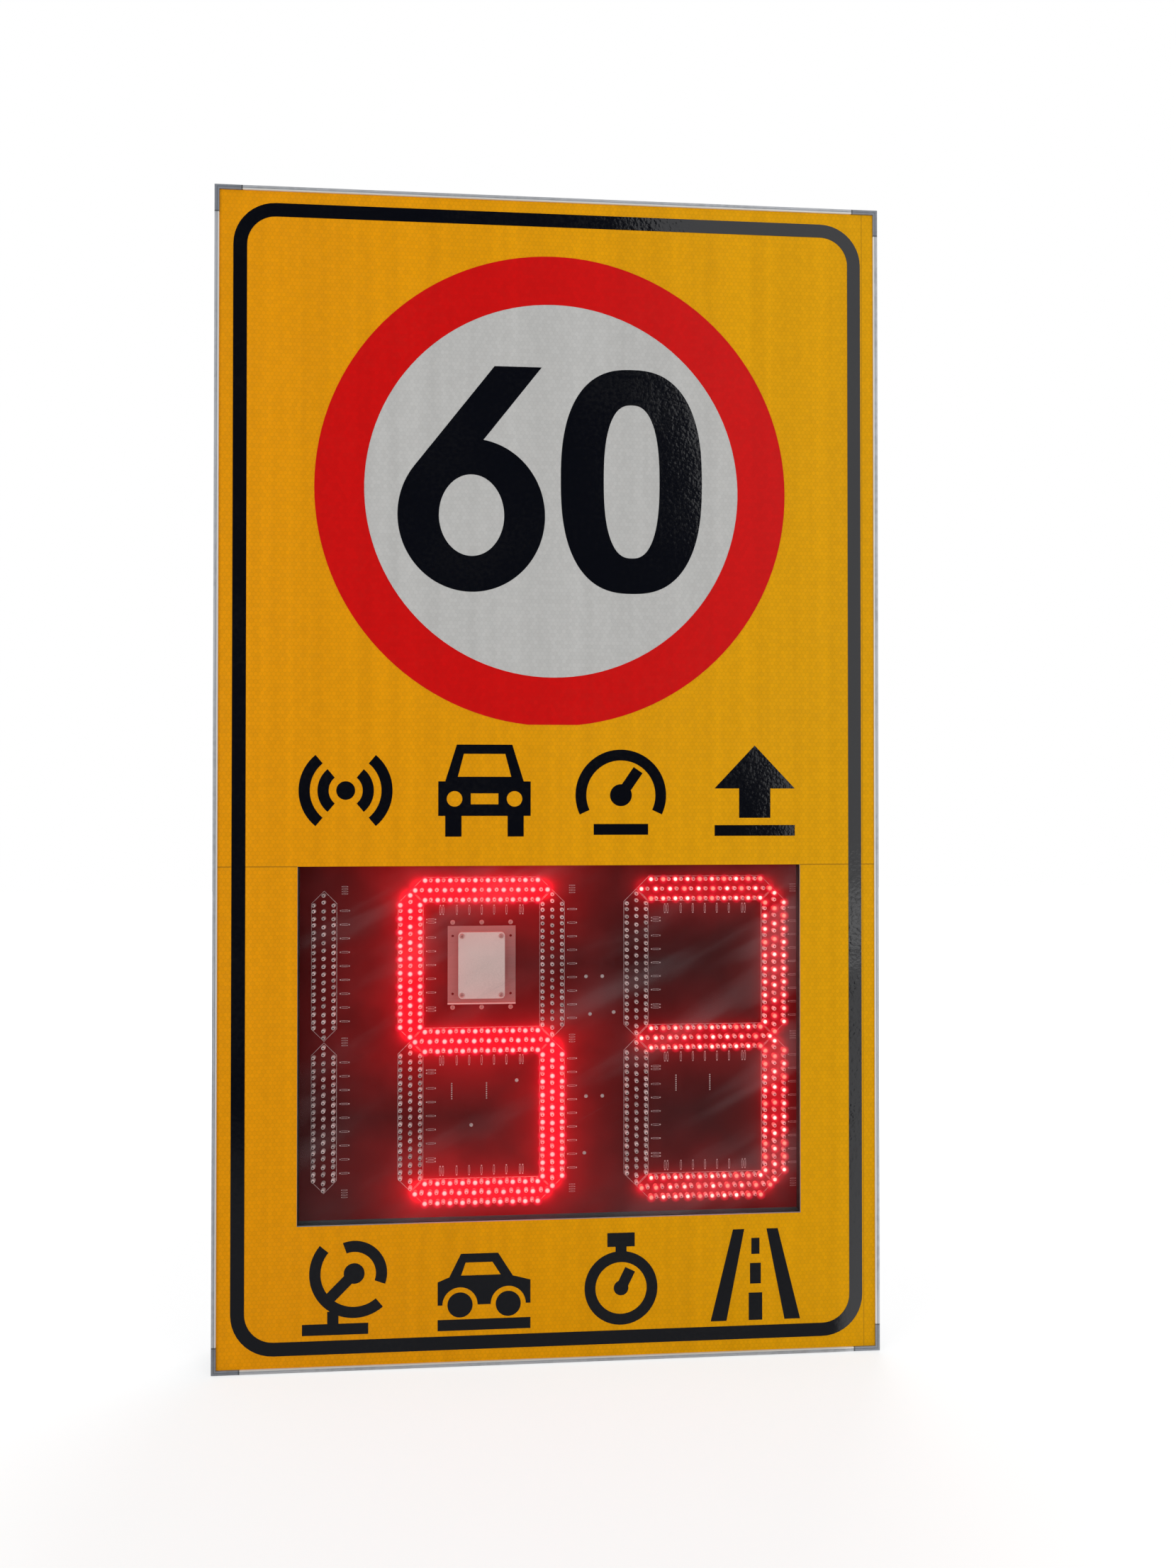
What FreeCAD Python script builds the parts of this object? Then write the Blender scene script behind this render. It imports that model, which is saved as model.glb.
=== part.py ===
import FreeCAD
import Part
import math
import os

# Radar speed sign: a flat case of aluminium extrusion with a reflective front, a lamp
# display behind a clear window, and two rails on its back that bolt to a pole.
# Millimetres. x runs to the viewer's right, y into the sign and z up.
# Depths called v are measured back from the front of the frame's lip.

# Lamps of the display and the figures that they form
LAMP_DIAMETER = 5.0
LAMP_HEIGHT = 8.6
LAMP_CLEARANCE = 0.9
LAMP_ROW_PITCH = 11.8
LAMP_PITCH = 15.6
SECOND_LAMP_LEAD_RATIO = 0.434
DIGIT_WIDTH = 171.0
DIGIT_HEIGHT = 364.0
DIGIT_GAP = 103.0
DISPLAY_SIDE_CLEAR = 13.7
DISPLAY_END_CLEAR = 15.7

# Fields of the front, from the top to the bottom
BORDER_INSET_SIDE = 21.6
BORDER_INSET_END = 19.5
BORDER_WIDTH = 16.0
BORDER_RADIUS = 50.0
RING_TOP_GAP = 36.0
RING_RADIUS = 283.5
RING_WIDTH = 58.4
RING_TRIM = 1.6
UPPER_LEGEND_GAP = 22.5
LEGEND_SIZE = 110.0
LEGEND_PITCH = 164.0
LEGEND_STROKE = 13.0
WINDOW_TOP_GAP = 35.0
LOWER_LEGEND_GAP = 18.0
LOWER_FIELD = 6.5
SIDE_FIELD = 98.0

# Numerals in the ring
NUMERAL_HEIGHT = 272.0
NUMERAL_RISE = 13.0
NUMERAL_GAP = 19.0
NUMERAL_LEFT_SHIFT = 2.3
SIX_WIDTH = 176.0
SIX_BOWL_HEIGHT = 184.0
SIX_STROKE = 49.0
SIX_STEM_WIDTH = 56.6
SIX_STEM_INSET = 4.0
ZERO_WIDTH = 172.0
ZERO_STROKE = 52.0
NUMERAL_END_STROKE = 43.0
ZERO_SQUARENESS = 2.5
ZERO_CURVE_POINTS = 32

# Case and its front layers
CASE_DEPTH = 90.0
WALL = 2.0
LIP_WIDTH = 5.5
LIP_GROOVE_WIDTH = 0.8
LIP_GROOVE_DEPTH = 0.5
LIP_BEVEL = 0.6
TUBE_WIDTH = 18.0
CORNER_LEG = 32.0
TONGUE_LENGTH = 40.0
TONGUE_CLEARANCE = 0.3
EDGE_CLEARANCE = 0.5
PANEL_THICKNESS = 3.0
SHEETING_THICKNESS = 0.4
DISC_THICKNESS = 0.3
VINYL_THICKNESS = 0.2
REAR_PANEL_THICKNESS = 2.0
REAR_SEAL_THICKNESS = 1.5
REAR_SEAL_INSET = 1.0

# Window and display board
GASKET_THICKNESS = 3.0
PANE_THICKNESS = 4.0
PANE_OVERLAP = 9.0
SHROUD_DEPTH = 12.6
SHROUD_WIDTH = 7.0
SHROUD_SETBACK = 1.0
SILL_WALL = 1.5
BOARD_THICKNESS = 1.6
SPACER_RADIUS = 4.0
SPACER_CLEARANCE = 2.0
BOARD_EDGE = 3.0
CHIP_COLUMNS = 8
CHIP_ROWS = 2
CHIP_LENGTH = 16.0
CHIP_WIDTH = 7.0
CHIP_HEIGHT = 2.0
CHIP_DROP = 60.0
CHIP_ROW_STEP = 60.0

# Radar unit
RADAR_PLATE_WIDTH = 82.0
RADAR_PLATE_HEIGHT = 94.0
RADAR_PLATE_THICKNESS = 1.5
RADAR_FOOT = 6.0
RADAR_HOLE_RADIUS = 1.6
RADAR_HOLE_INSET = 6.0
RADAR_COVER_WIDTH = 56.0
RADAR_COVER_HEIGHT = 80.0
RADAR_COVER_DEPTH = 7.0
RADAR_COVER_WALL = 1.5
RADAR_COVER_RADIUS = 4.5
RADAR_BOSS_INSET = 4.5
RADAR_BOSS_RADIUS = 3.2
ANTENNA_CLEARANCE = 1.0
LID_DEPTH = 20.0
LID_WALL = 1.0
LID_FLANGE = 12.0
LID_GAP = 1.5

# Gear behind the upper half of the front
GEAR_PLATE_WIDTH = 440.0
GEAR_PLATE_HEIGHT = 240.0
GEAR_PLATE_THICKNESS = 2.0
GEAR_TOP_GAP = 480.0
GEAR_SPACER_LENGTH = 10.0
GEAR_SPACER_RADIUS = 5.0
GEAR_MARGIN = 15.0
SUPPLY_LENGTH = 200.0
SUPPLY_HEIGHT = 110.0
SUPPLY_DEPTH = 30.0
SUPPLY_WALL = 1.0
SUPPLY_TERMINAL_LENGTH = 14.0
SUPPLY_TERMINAL_CLEARANCE = 0.5
GEAR_LEAD_LENGTH = 50.0
CONTROL_WIDTH = 130.0
CONTROL_HEIGHT = 90.0
CONTROL_LIFT = 6.0
SOCKET_LENGTH = 22.0
SOCKET_WIDTH = 12.0
SOCKET_HEIGHT = 9.0
TERMINAL_BLOCK_LENGTH = 60.0
TERMINAL_BLOCK_HEIGHT = 24.0
TERMINAL_BLOCK_DEPTH = 26.0
LEAD_RADIUS = 3.0
LEAD_STRAIGHT = 3.0

# Screws, bolts and their holes
SMALL_SCREW_RADIUS = 1.5
SMALL_HEAD_RADIUS = 2.9
SMALL_HEAD_HEIGHT = 1.9
SMALL_SCREW_BITE = 6.0
PANEL_SCREW_RADIUS = 2.0
PANEL_HEAD_RADIUS = 4.0
PANEL_HEAD_HEIGHT = 2.6
PANEL_SCREW_BITE = 8.0
RAIL_BOLT_RADIUS = 3.0
RAIL_BOLT_HEAD_RADIUS = 5.8
RAIL_BOLT_HEAD_HEIGHT = 4.0
RAIL_BOLT_BITE = 10.0
HOLE_CLEARANCE = 0.2
NUT_HEIGHT = 2.4
REAR_SCREW_COLUMNS = 6
REAR_SCREW_ROWS = 5
SCREW_MARGIN = 20.0

# Rails for the pole
RAIL_END_GAP = 250.0
RAIL_DEPTH = 32.0
RAIL_TOP = 50.0
RAIL_FLANGE = 24.0
RAIL_THICKNESS = 3.0
RAIL_END_INSET = 1.0
SLOT_SPACING = 200.0
SLOT_WIDTH = 11.0
SLOT_LENGTH = 30.0

# Cable gland on the rear panel
GLAND_X = 220.0
GLAND_RISE = 100.0
GLAND_THREAD_RADIUS = 10.0
GLAND_THREAD_LENGTH = 12.0
GLAND_BORE_RADIUS = 6.5
GLAND_HEX_RADIUS = 14.0
GLAND_HEX_HEIGHT = 6.0
GLAND_CAP_RADIUS = 11.5
GLAND_CAP_HEIGHT = 15.0
GLAND_CAP_ROUND = 3.5
GLAND_CABLE_RADIUS = 5.0
GLAND_NUT_HEIGHT = 5.0

# Window and overall size
LAMP_REACH = LAMP_ROW_PITCH + LAMP_DIAMETER / 2
WINDOW_WIDTH = 2 * (DIGIT_WIDTH + DIGIT_GAP + LAMP_REACH + DISPLAY_SIDE_CLEAR)
WINDOW_HEIGHT = DIGIT_HEIGHT + 2 * (LAMP_REACH + DISPLAY_END_CLEAR)
SIGN_WIDTH = WINDOW_WIDTH + 2 * SIDE_FIELD
BORDER_END = BORDER_INSET_END + BORDER_WIDTH
TOP_FIELDS = BORDER_END + RING_TOP_GAP + 2 * RING_RADIUS + UPPER_LEGEND_GAP + LEGEND_SIZE + WINDOW_TOP_GAP
SIGN_HEIGHT = TOP_FIELDS + WINDOW_HEIGHT + LOWER_LEGEND_GAP + LEGEND_SIZE + LOWER_FIELD + BORDER_END

# Heights of the fields
SIGN_TOP = SIGN_HEIGHT / 2
RING_Z = SIGN_TOP - BORDER_END - RING_TOP_GAP - RING_RADIUS
UPPER_LEGEND_Z = RING_Z - RING_RADIUS - UPPER_LEGEND_GAP - LEGEND_SIZE / 2
WINDOW_TOP = SIGN_TOP - TOP_FIELDS
WINDOW_BOTTOM = WINDOW_TOP - WINDOW_HEIGHT
WINDOW_Z = (WINDOW_TOP + WINDOW_BOTTOM) / 2
LOWER_LEGEND_Z = WINDOW_BOTTOM - LOWER_LEGEND_GAP - LEGEND_SIZE / 2

# Columns and rows of the figures
HUNDREDS_X = -DIGIT_WIDTH - DIGIT_GAP
TENS_X = HUNDREDS_X + DIGIT_GAP
UNITS_X = TENS_X + DIGIT_WIDTH + DIGIT_GAP
FIGURE_TOP = WINDOW_Z + DIGIT_HEIGHT / 2
FIGURE_BOTTOM = WINDOW_Z - DIGIT_HEIGHT / 2

# Depths of the layers
SHEETING_V = WALL
PANEL_V = SHEETING_V + SHEETING_THICKNESS
PANEL_BACK_V = PANEL_V + PANEL_THICKNESS
PANE_V = PANEL_BACK_V + GASKET_THICKNESS
SHROUD_V = PANE_V + PANE_THICKNESS
BOARD_V = SHROUD_V + SHROUD_DEPTH
BOARD_BACK_V = BOARD_V + BOARD_THICKNESS
REAR_PANEL_V = CASE_DEPTH - REAR_PANEL_THICKNESS
REAR_SEAL_V = REAR_PANEL_V - REAR_SEAL_THICKNESS
GEAR_V = REAR_PANEL_V - GEAR_SPACER_LENGTH - GEAR_PLATE_THICKNESS
RAIL_TOP_V = CASE_DEPTH + RAIL_DEPTH
RAIL_SPACING = SIGN_HEIGHT - 2 * RAIL_END_GAP

# Board outline, and the places of its spacers beside the pane
SPACER_OFFSET = PANE_OVERLAP + SPACER_CLEARANCE + SPACER_RADIUS
BOARD_OVERHANG = SPACER_OFFSET + SPACER_RADIUS + BOARD_EDGE

# Radar unit in the upper loop of the tens figure
RADAR_X = TENS_X + DIGIT_WIDTH / 2
RADAR_Z = (FIGURE_TOP + WINDOW_Z) / 2
RADAR_PLATE_V = BOARD_V - RADAR_PLATE_THICKNESS
RADAR_COVER_V = RADAR_PLATE_V - RADAR_COVER_DEPTH

# Gear places
GEAR_RISE = SIGN_TOP - GEAR_TOP_GAP
GEAR_LEFT = -GEAR_PLATE_WIDTH / 2 + 2 * GEAR_MARGIN
SUPPLY_TOP = GEAR_RISE + SUPPLY_HEIGHT / 2
SUPPLY_BOTTOM = GEAR_RISE - SUPPLY_HEIGHT / 2
SUPPLY_END = GEAR_LEFT + SUPPLY_LENGTH
GEAR_RIGHT = SUPPLY_END + GEAR_LEAD_LENGTH
CONTROL_V = GEAR_V - CONTROL_LIFT - BOARD_THICKNESS
CONTROL_LEAD_Z = SUPPLY_BOTTOM + SUPPLY_HEIGHT / 4
MAINS_LEAD_Z = SUPPLY_BOTTOM + SUPPLY_HEIGHT * 3 / 4
CONTROL_TOP = CONTROL_LEAD_Z + SOCKET_LENGTH / 2
CONTROL_BOTTOM = CONTROL_TOP - CONTROL_HEIGHT
SOCKET_LEAD_V = CONTROL_V - SOCKET_HEIGHT / 2
DISPLAY_SOCKET_X = GEAR_RIGHT + CONTROL_WIDTH / 2
DISPLAY_SOCKET_Z = WINDOW_TOP + BOARD_OVERHANG - SOCKET_LENGTH
DISPLAY_SOCKET_BACK_V = BOARD_BACK_V + SOCKET_HEIGHT


def vec(x, v, z):
    return FreeCAD.Vector(x, v, z)


def block(x0, x1, v0, v1, z0, z1):
    return Part.makeBox(x1 - x0, v1 - v0, z1 - z0, vec(x0, v0, z0))


def centred_block(x, z, width, height, v0, v1):
    return block(x - width / 2, x + width / 2, v0, v1, z - height / 2, z + height / 2)


def peg(x, z, radius, v0, v1):
    return Part.makeCylinder(radius, v1 - v0, vec(x, v0, z), vec(0, 1, 0))


def hexagon(x, z, radius, v0, v1):
    corners = [math.radians(60 * step) for step in range(7)]
    outline = [vec(x + radius * math.cos(a), v0, z + radius * math.sin(a)) for a in corners]
    return Part.Face(Part.makePolygon(outline)).extrude(vec(0, v1 - v0, 0))


def polygon(points, v0, v1):
    outline = [vec(x, v0, z) for x, z in points + points[:1]]
    return Part.Face(Part.makePolygon(outline)).extrude(vec(0, v1 - v0, 0))


def rounded_block(x, z, width, height, v0, v1, radius):
    solid = centred_block(x, z, width, height, v0, v1)
    corners = [e for e in solid.Edges if abs(e.tangentAt(e.FirstParameter).y) > 0.5]
    return solid.makeFillet(radius, corners)


def frame(x, z, width, height, band, v0, v1):
    outer = centred_block(x, z, width + 2 * band, height + 2 * band, v0, v1)
    return outer.cut(centred_block(x, z, width, height, v0, v1))


def fuse(solids):
    return solids[0].multiFuse(solids[1:]).removeSplitter()


def drill(solid, points, radius, v0, v1):
    return solid.cut([peg(x, z, radius, v0, v1) for x, z in points])


def spread(first, last, count):
    step = (last - first) / (count - 1)
    return [first + step * index for index in range(count)]


def save(name, shape):
    shape.translated(vec(0, -RAIL_TOP_V, 0)).exportStep("parts/" + name + ".step")


# Places of the rear panel's screws and of the bolts that hold the pole rails

def rear_screw_points():
    side_x = SIGN_WIDTH / 2 - TUBE_WIDTH / 2
    end_z = SIGN_TOP - TUBE_WIDTH / 2
    margin = CORNER_LEG + TONGUE_LENGTH + SCREW_MARGIN
    rail_reach = RAIL_TOP / 2 + RAIL_FLANGE + SCREW_MARGIN
    inner_z = RAIL_SPACING / 2 - rail_reach
    outer_z = (RAIL_SPACING / 2 + rail_reach + SIGN_TOP - margin) / 2
    across = spread(margin - SIGN_WIDTH / 2, SIGN_WIDTH / 2 - margin, REAR_SCREW_COLUMNS)
    upright = [-outer_z] + spread(-inner_z, inner_z, REAR_SCREW_ROWS) + [outer_z]
    ends = [(x, z) for x in across for z in (-end_z, end_z)]
    return ends + [(x, z) for x in (-side_x, side_x) for z in upright]


def rail_bolt_points(rail_z):
    side_x = SIGN_WIDTH / 2 - TUBE_WIDTH / 2
    reach = RAIL_TOP / 2 + RAIL_FLANGE / 2
    return [(x, rail_z + dz) for x in (-side_x, side_x) for dz in (-reach, reach)]


def all_rail_bolt_points():
    return rail_bolt_points(-RAIL_SPACING / 2) + rail_bolt_points(RAIL_SPACING / 2)


# Frame: rails with a lip in front of the panel slot and a hollow tube behind it

def rail_outline():
    groove = LIP_WIDTH / 2
    return [
        (LIP_BEVEL, 0), (groove, 0), (groove, LIP_GROOVE_DEPTH),
        (groove + LIP_GROOVE_WIDTH, LIP_GROOVE_DEPTH), (groove + LIP_GROOVE_WIDTH, 0),
        (LIP_WIDTH, 0), (LIP_WIDTH, WALL), (WALL, WALL), (WALL, PANEL_BACK_V),
        (TUBE_WIDTH, PANEL_BACK_V), (TUBE_WIDTH, REAR_SEAL_V), (WALL, REAR_SEAL_V),
        (WALL, CASE_DEPTH), (0, CASE_DEPTH), (0, LIP_BEVEL),
    ]


def rail_bar(length):
    """A bar of the frame's section along x, with its outer face at z = 0."""
    outline = [vec(0, v, -u) for u, v in rail_outline()]
    return Part.Face(Part.makePolygon(outline + outline[:1])).extrude(vec(length, 0, 0))


def chamber_bar(length, clearance):
    """What fills the hollow of a rail, smaller all round by a clearance."""
    inset = WALL + clearance
    front = PANEL_BACK_V + inset
    back = REAR_SEAL_V - inset
    return block(0, length, front, back, inset - TUBE_WIDTH, -inset)


def frame_rail(length, outer, angle):
    rail = rail_bar(length).cut(chamber_bar(length, 0))
    rail.translate(vec(-length / 2, 0, outer))
    rail.rotate(vec(0, 0, 0), vec(0, 1, 0), angle)
    back = CASE_DEPTH
    front = REAR_SEAL_V - 2 * WALL
    rail = drill(rail, rear_screw_points(), PANEL_SCREW_RADIUS + HOLE_CLEARANCE, front, back)
    return drill(rail, all_rail_bolt_points(), RAIL_BOLT_RADIUS + HOLE_CLEARANCE, front, back)


def corner_block():
    """The top left corner: two mitred legs, each with a tongue for its rail."""
    leg = rail_bar(CORNER_LEG)
    wedge = polygon([(0, 0), (CORNER_LEG, 0), (CORNER_LEG, -CORNER_LEG)], 0, CASE_DEPTH)
    tongue = chamber_bar(TONGUE_LENGTH, TONGUE_CLEARANCE)
    tongue.translate(vec(CORNER_LEG, 0, 0))
    across = fuse([leg.common(wedge), tongue])
    upright = across.mirror(vec(0, 0, 0), vec(1, 0, 1))
    corner = fuse([across, upright])
    corner.translate(vec(-SIGN_WIDTH / 2, 0, SIGN_TOP))
    return corner


def save_frame():
    across = SIGN_WIDTH - 2 * CORNER_LEG
    upright = SIGN_HEIGHT - 2 * CORNER_LEG
    save("frame_rail_top", frame_rail(across, SIGN_TOP, 0))
    save("frame_rail_bottom", frame_rail(across, SIGN_TOP, 180))
    save("frame_rail_left", frame_rail(upright, SIGN_WIDTH / 2, -90))
    save("frame_rail_right", frame_rail(upright, SIGN_WIDTH / 2, 90))
    corner = corner_block()
    lower = corner.mirror(vec(0, 0, 0), vec(0, 0, 1))
    for height, shape in (("top", corner), ("bottom", lower)):
        save("corner_block_" + height + "_left", shape)
        save("corner_block_" + height + "_right", shape.mirror(vec(0, 0, 0), vec(1, 0, 0)))


# Front panel, its sheeting, and the films that lie on it

def front_sheet(v0, v1):
    inset = 2 * (WALL + EDGE_CLEARANCE)
    sheet = centred_block(0, 0, SIGN_WIDTH - inset, SIGN_HEIGHT - inset, v0, v1)
    return sheet.cut(centred_block(0, WINDOW_Z, WINDOW_WIDTH, WINDOW_HEIGHT, v0, v1))


def border_line():
    front = SHEETING_V - DISC_THICKNESS
    width = SIGN_WIDTH - 2 * BORDER_INSET_SIDE
    height = SIGN_HEIGHT - 2 * BORDER_INSET_END
    outer = rounded_block(0, 0, width, height, front, SHEETING_V, BORDER_RADIUS)
    inner_radius = BORDER_RADIUS - BORDER_WIDTH
    inner_width = width - 2 * BORDER_WIDTH
    inner_height = height - 2 * BORDER_WIDTH
    return outer.cut(rounded_block(0, 0, inner_width, inner_height, front, SHEETING_V, inner_radius))


def trimmed_disc(radius, v0, v1):
    disc = peg(0, RING_Z, radius, v0, v1)
    low = RING_Z - RING_RADIUS
    return disc.cut(block(-RING_RADIUS, RING_RADIUS, v0, v1, low, low + RING_TRIM))


def ellipse_solid(x, z, half_width, half_height, v0, v1):
    """An upright ellipse, taller than it is wide."""
    top = vec(x, v0, z + half_height)
    side = vec(x + half_width, v0, z)
    wire = Part.Wire(Part.Ellipse(top, side, vec(x, v0, z)).toShape())
    return Part.Face(wire).extrude(vec(0, v1 - v0, 0))


def numeral_six(x, base, v0, v1):
    half_width = SIX_WIDTH / 2
    half_bowl = SIX_BOWL_HEIGHT / 2
    bowl_z = base + half_bowl
    top = base + NUMERAL_HEIGHT
    stem_right = x + half_width - SIX_STEM_INSET
    stem_left = stem_right - SIX_STEM_WIDTH
    # The stem's left side is the tangent from its top corner to the bowl.
    across = (stem_left - x) / half_width
    up = (top - bowl_z) / half_bowl
    turn = math.atan2(up, across) + math.acos(1 / math.hypot(across, up))
    touch_x = x + half_width * math.cos(turn)
    touch_z = bowl_z + half_bowl * math.sin(turn)
    stem = [(stem_left, top), (stem_right, top), (touch_x + SIX_STEM_WIDTH, touch_z), (touch_x, touch_z)]
    bowl = ellipse_solid(x, bowl_z, half_width, half_bowl, v0, v1)
    hole = ellipse_solid(x, bowl_z, half_width - SIX_STROKE, half_bowl - NUMERAL_END_STROKE, v0, v1)
    return fuse([bowl, polygon(stem, v0, v1)]).cut(hole)


def squared_oval(x, z, half_width, half_height, v0, v1):
    """A superellipse: an oval with fuller corners than an ellipse has."""
    power = 2 / ZERO_SQUARENESS
    points = []
    for step in range(ZERO_CURVE_POINTS):
        turn = 2 * math.pi * step / ZERO_CURVE_POINTS
        c = math.cos(turn)
        s = math.sin(turn)
        across = math.copysign(abs(c) ** power, c)
        up = math.copysign(abs(s) ** power, s)
        points.append(vec(x + half_width * across, v0, z + half_height * up))
    curve = Part.BSplineCurve()
    curve.interpolate(points, PeriodicFlag=True)
    return Part.Face(Part.Wire(curve.toShape())).extrude(vec(0, v1 - v0, 0))


def numeral_zero(x, base, v0, v1):
    z = base + NUMERAL_HEIGHT / 2
    outer = squared_oval(x, z, ZERO_WIDTH / 2, NUMERAL_HEIGHT / 2, v0, v1)
    half_width = ZERO_WIDTH / 2 - ZERO_STROKE
    half_height = NUMERAL_HEIGHT / 2 - NUMERAL_END_STROKE
    return outer.cut(squared_oval(x, z, half_width, half_height, v0, v1))


def save_front():
    disc_front = SHEETING_V - DISC_THICKNESS
    vinyl_front = disc_front - VINYL_THICKNESS
    save("front_panel", front_sheet(PANEL_V, PANEL_BACK_V))
    save("yellow_sheeting", front_sheet(SHEETING_V, PANEL_V))
    save("border_line", border_line())
    save("limit_disc", trimmed_disc(RING_RADIUS, disc_front, SHEETING_V))
    ring = trimmed_disc(RING_RADIUS, vinyl_front, disc_front)
    inner = peg(0, RING_Z, RING_RADIUS - RING_WIDTH, vinyl_front, disc_front)
    save("limit_ring", ring.cut(inner))
    six_left = -(SIX_WIDTH + NUMERAL_GAP + ZERO_WIDTH) / 2 - NUMERAL_LEFT_SHIFT
    zero_left = six_left + SIX_WIDTH + NUMERAL_GAP
    base = RING_Z + NUMERAL_RISE - NUMERAL_HEIGHT / 2
    save("numeral_six", numeral_six(six_left + SIX_WIDTH / 2, base, vinyl_front, disc_front))
    save("numeral_zero", numeral_zero(zero_left + ZERO_WIDTH / 2, base, vinyl_front, disc_front))


# Pictogram marks of the two legend rows, each drawn about its own centre

class Mark:
    """Black film pieces about a centre, in a square cell of the legend's size."""

    def __init__(self, x, z):
        self.x = x
        self.z = z
        self.half = LEGEND_SIZE / 2
        self.front = SHEETING_V - DISC_THICKNESS

    def shape(self, *points):
        placed = [(self.x + self.half * a, self.z + self.half * b) for a, b in points]
        return polygon(placed, self.front, SHEETING_V)

    def disc(self, a, b, radius):
        centre_x = self.x + self.half * a
        centre_z = self.z + self.half * b
        return peg(centre_x, centre_z, self.half * radius, self.front, SHEETING_V)

    def stroke(self, a0, b0, a1, b1):
        length = math.hypot(a1 - a0, b1 - b0)
        side_a = (b1 - b0) / length * LEGEND_STROKE / (2 * self.half)
        side_b = (a0 - a1) / length * LEGEND_STROKE / (2 * self.half)
        return self.shape(
            (a0 + side_a, b0 + side_b), (a1 + side_a, b1 + side_b),
            (a1 - side_a, b1 - side_b), (a0 - side_a, b0 - side_b))

    def arc(self, a, b, radius, start, end):
        """A band along an arc, its outer edge at the radius, between two angles in degrees."""
        inner = radius - LEGEND_STROKE / self.half
        edges = []
        for r, first, last in ((radius, start, end), (inner, end, start)):
            angles = [math.radians(d) for d in (first, (first + last) / 2, last)]
            ends = [vec(self.x + self.half * (a + r * math.cos(t)), self.front,
                        self.z + self.half * (b + r * math.sin(t))) for t in angles]
            edges.append((Part.Arc(*ends).toShape(), ends[0], ends[2]))
        outer, inner = edges
        joins = [Part.makeLine(outer[2], inner[1]), Part.makeLine(inner[2], outer[1])]
        wire = Part.Wire([outer[0], joins[0], inner[0], joins[1]])
        return Part.Face(wire).extrude(vec(0, DISC_THICKNESS, 0))


def waves_mark(mark):
    arcs = [mark.arc(0, 0, r, turn - 50, turn + 50) for turn in (0, 180) for r in (0.6, 1.0)]
    return [mark.disc(0, 0, 0.2)] + arcs


def car_front_mark(mark):
    roof = mark.shape((-0.85, 0.2), (0.85, 0.2), (0.6, 1.0), (-0.6, 1.0))
    body = mark.shape((-1.0, -0.55), (1.0, -0.55), (1.0, 0.2), (-1.0, 0.2))
    wheels = [mark.shape((a, -1.0), (a + 0.35, -1.0), (a + 0.35, -0.55), (a, -0.55)) for a in (-0.85, 0.5)]
    glass = mark.shape((-0.58, 0.3), (0.58, 0.3), (0.45, 0.8), (-0.45, 0.8))
    lights = [mark.disc(a, -0.18, 0.17) for a in (-0.65, 0.65)]
    grille = mark.shape((-0.3, -0.3), (0.3, -0.3), (0.3, -0.06), (-0.3, -0.06))
    return [fuse([roof, body] + wheels).cut([glass, grille] + lights)]


def gauge_mark(mark):
    dial = mark.arc(0, -0.1, 1.0, -25, 205)
    needle = fuse([mark.stroke(0, -0.1, 0.38, 0.45), mark.disc(0, -0.1, 0.24)])
    return [dial, needle, mark.stroke(-0.6, -0.85, 0.6, -0.85)]


def arrow_mark(mark):
    head = mark.shape((-0.9, 0.05), (0.9, 0.05), (0, 1.0))
    shaft = mark.shape((-0.35, -0.6), (0.35, -0.6), (0.35, 0.05), (-0.35, 0.05))
    return [fuse([head, shaft]), mark.stroke(-0.9, -0.88, 0.9, -0.88)]


def dish_mark(mark):
    bowl = mark.arc(0.2, 0.3, 0.95, 140, 310)
    feed = fuse([mark.stroke(0.2, 0.3, -0.35, -0.25), mark.disc(0.2, 0.3, 0.22)])
    post = mark.stroke(-0.25, -0.5, -0.25, -0.88)
    foot = mark.stroke(-0.9, -0.88, 0.5, -0.88)
    return [fuse([bowl, feed, post, foot]), mark.arc(0.2, 0.3, 0.7, -20, 110)]


def car_side_mark(mark):
    body = mark.shape((-1.0, -0.45), (1.0, -0.45), (1.0, 0.05), (0.62, 0.15), (0.3, 0.65), (-0.5, 0.65),
                      (-0.75, 0.15), (-1.0, 0.05))
    glass = mark.shape((-0.5, 0.18), (0.36, 0.18), (0.18, 0.46), (-0.4, 0.46))
    arches = [mark.disc(a, -0.45, 0.38) for a in (-0.52, 0.52)]
    wheels = [mark.disc(a, -0.45, 0.27) for a in (-0.52, 0.52)]
    return [body.cut([glass] + arches)] + wheels + [mark.stroke(-1.0, -0.88, 1.0, -0.88)]


def stopwatch_mark(mark):
    rim = mark.disc(0, -0.2, 0.8).cut(mark.disc(0, -0.2, 0.8 - LEGEND_STROKE / mark.half))
    button = mark.shape((-0.3, 0.7), (0.3, 0.7), (0.3, 1.0), (-0.3, 1.0))
    neck = mark.shape((-0.12, 0.5), (0.12, 0.5), (0.12, 0.7), (-0.12, 0.7))
    return [fuse([rim, button, neck]), fuse([mark.stroke(0, -0.2, 0.2, 0.2), mark.disc(0, -0.2, 0.16)])]


def road_mark(mark):
    left = mark.shape((-1.0, -1.0), (-0.65, -1.0), (-0.25, 1.0), (-0.5, 1.0))
    right = mark.shape((1.0, -1.0), (0.65, -1.0), (0.25, 1.0), (0.5, 1.0))
    dashes = [mark.shape((-w, b), (w, b), (w, b + h), (-w, b + h))
              for b, h, w in ((-1.0, 0.6, 0.15), (-0.2, 0.45, 0.12), (0.45, 0.35, 0.09))]
    return [left, right] + dashes


def legend_row(z, drawings):
    pieces = []
    for index, drawing in enumerate(drawings):
        pieces += drawing(Mark((index - 1.5) * LEGEND_PITCH, z))
    return Part.makeCompound(pieces)


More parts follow.
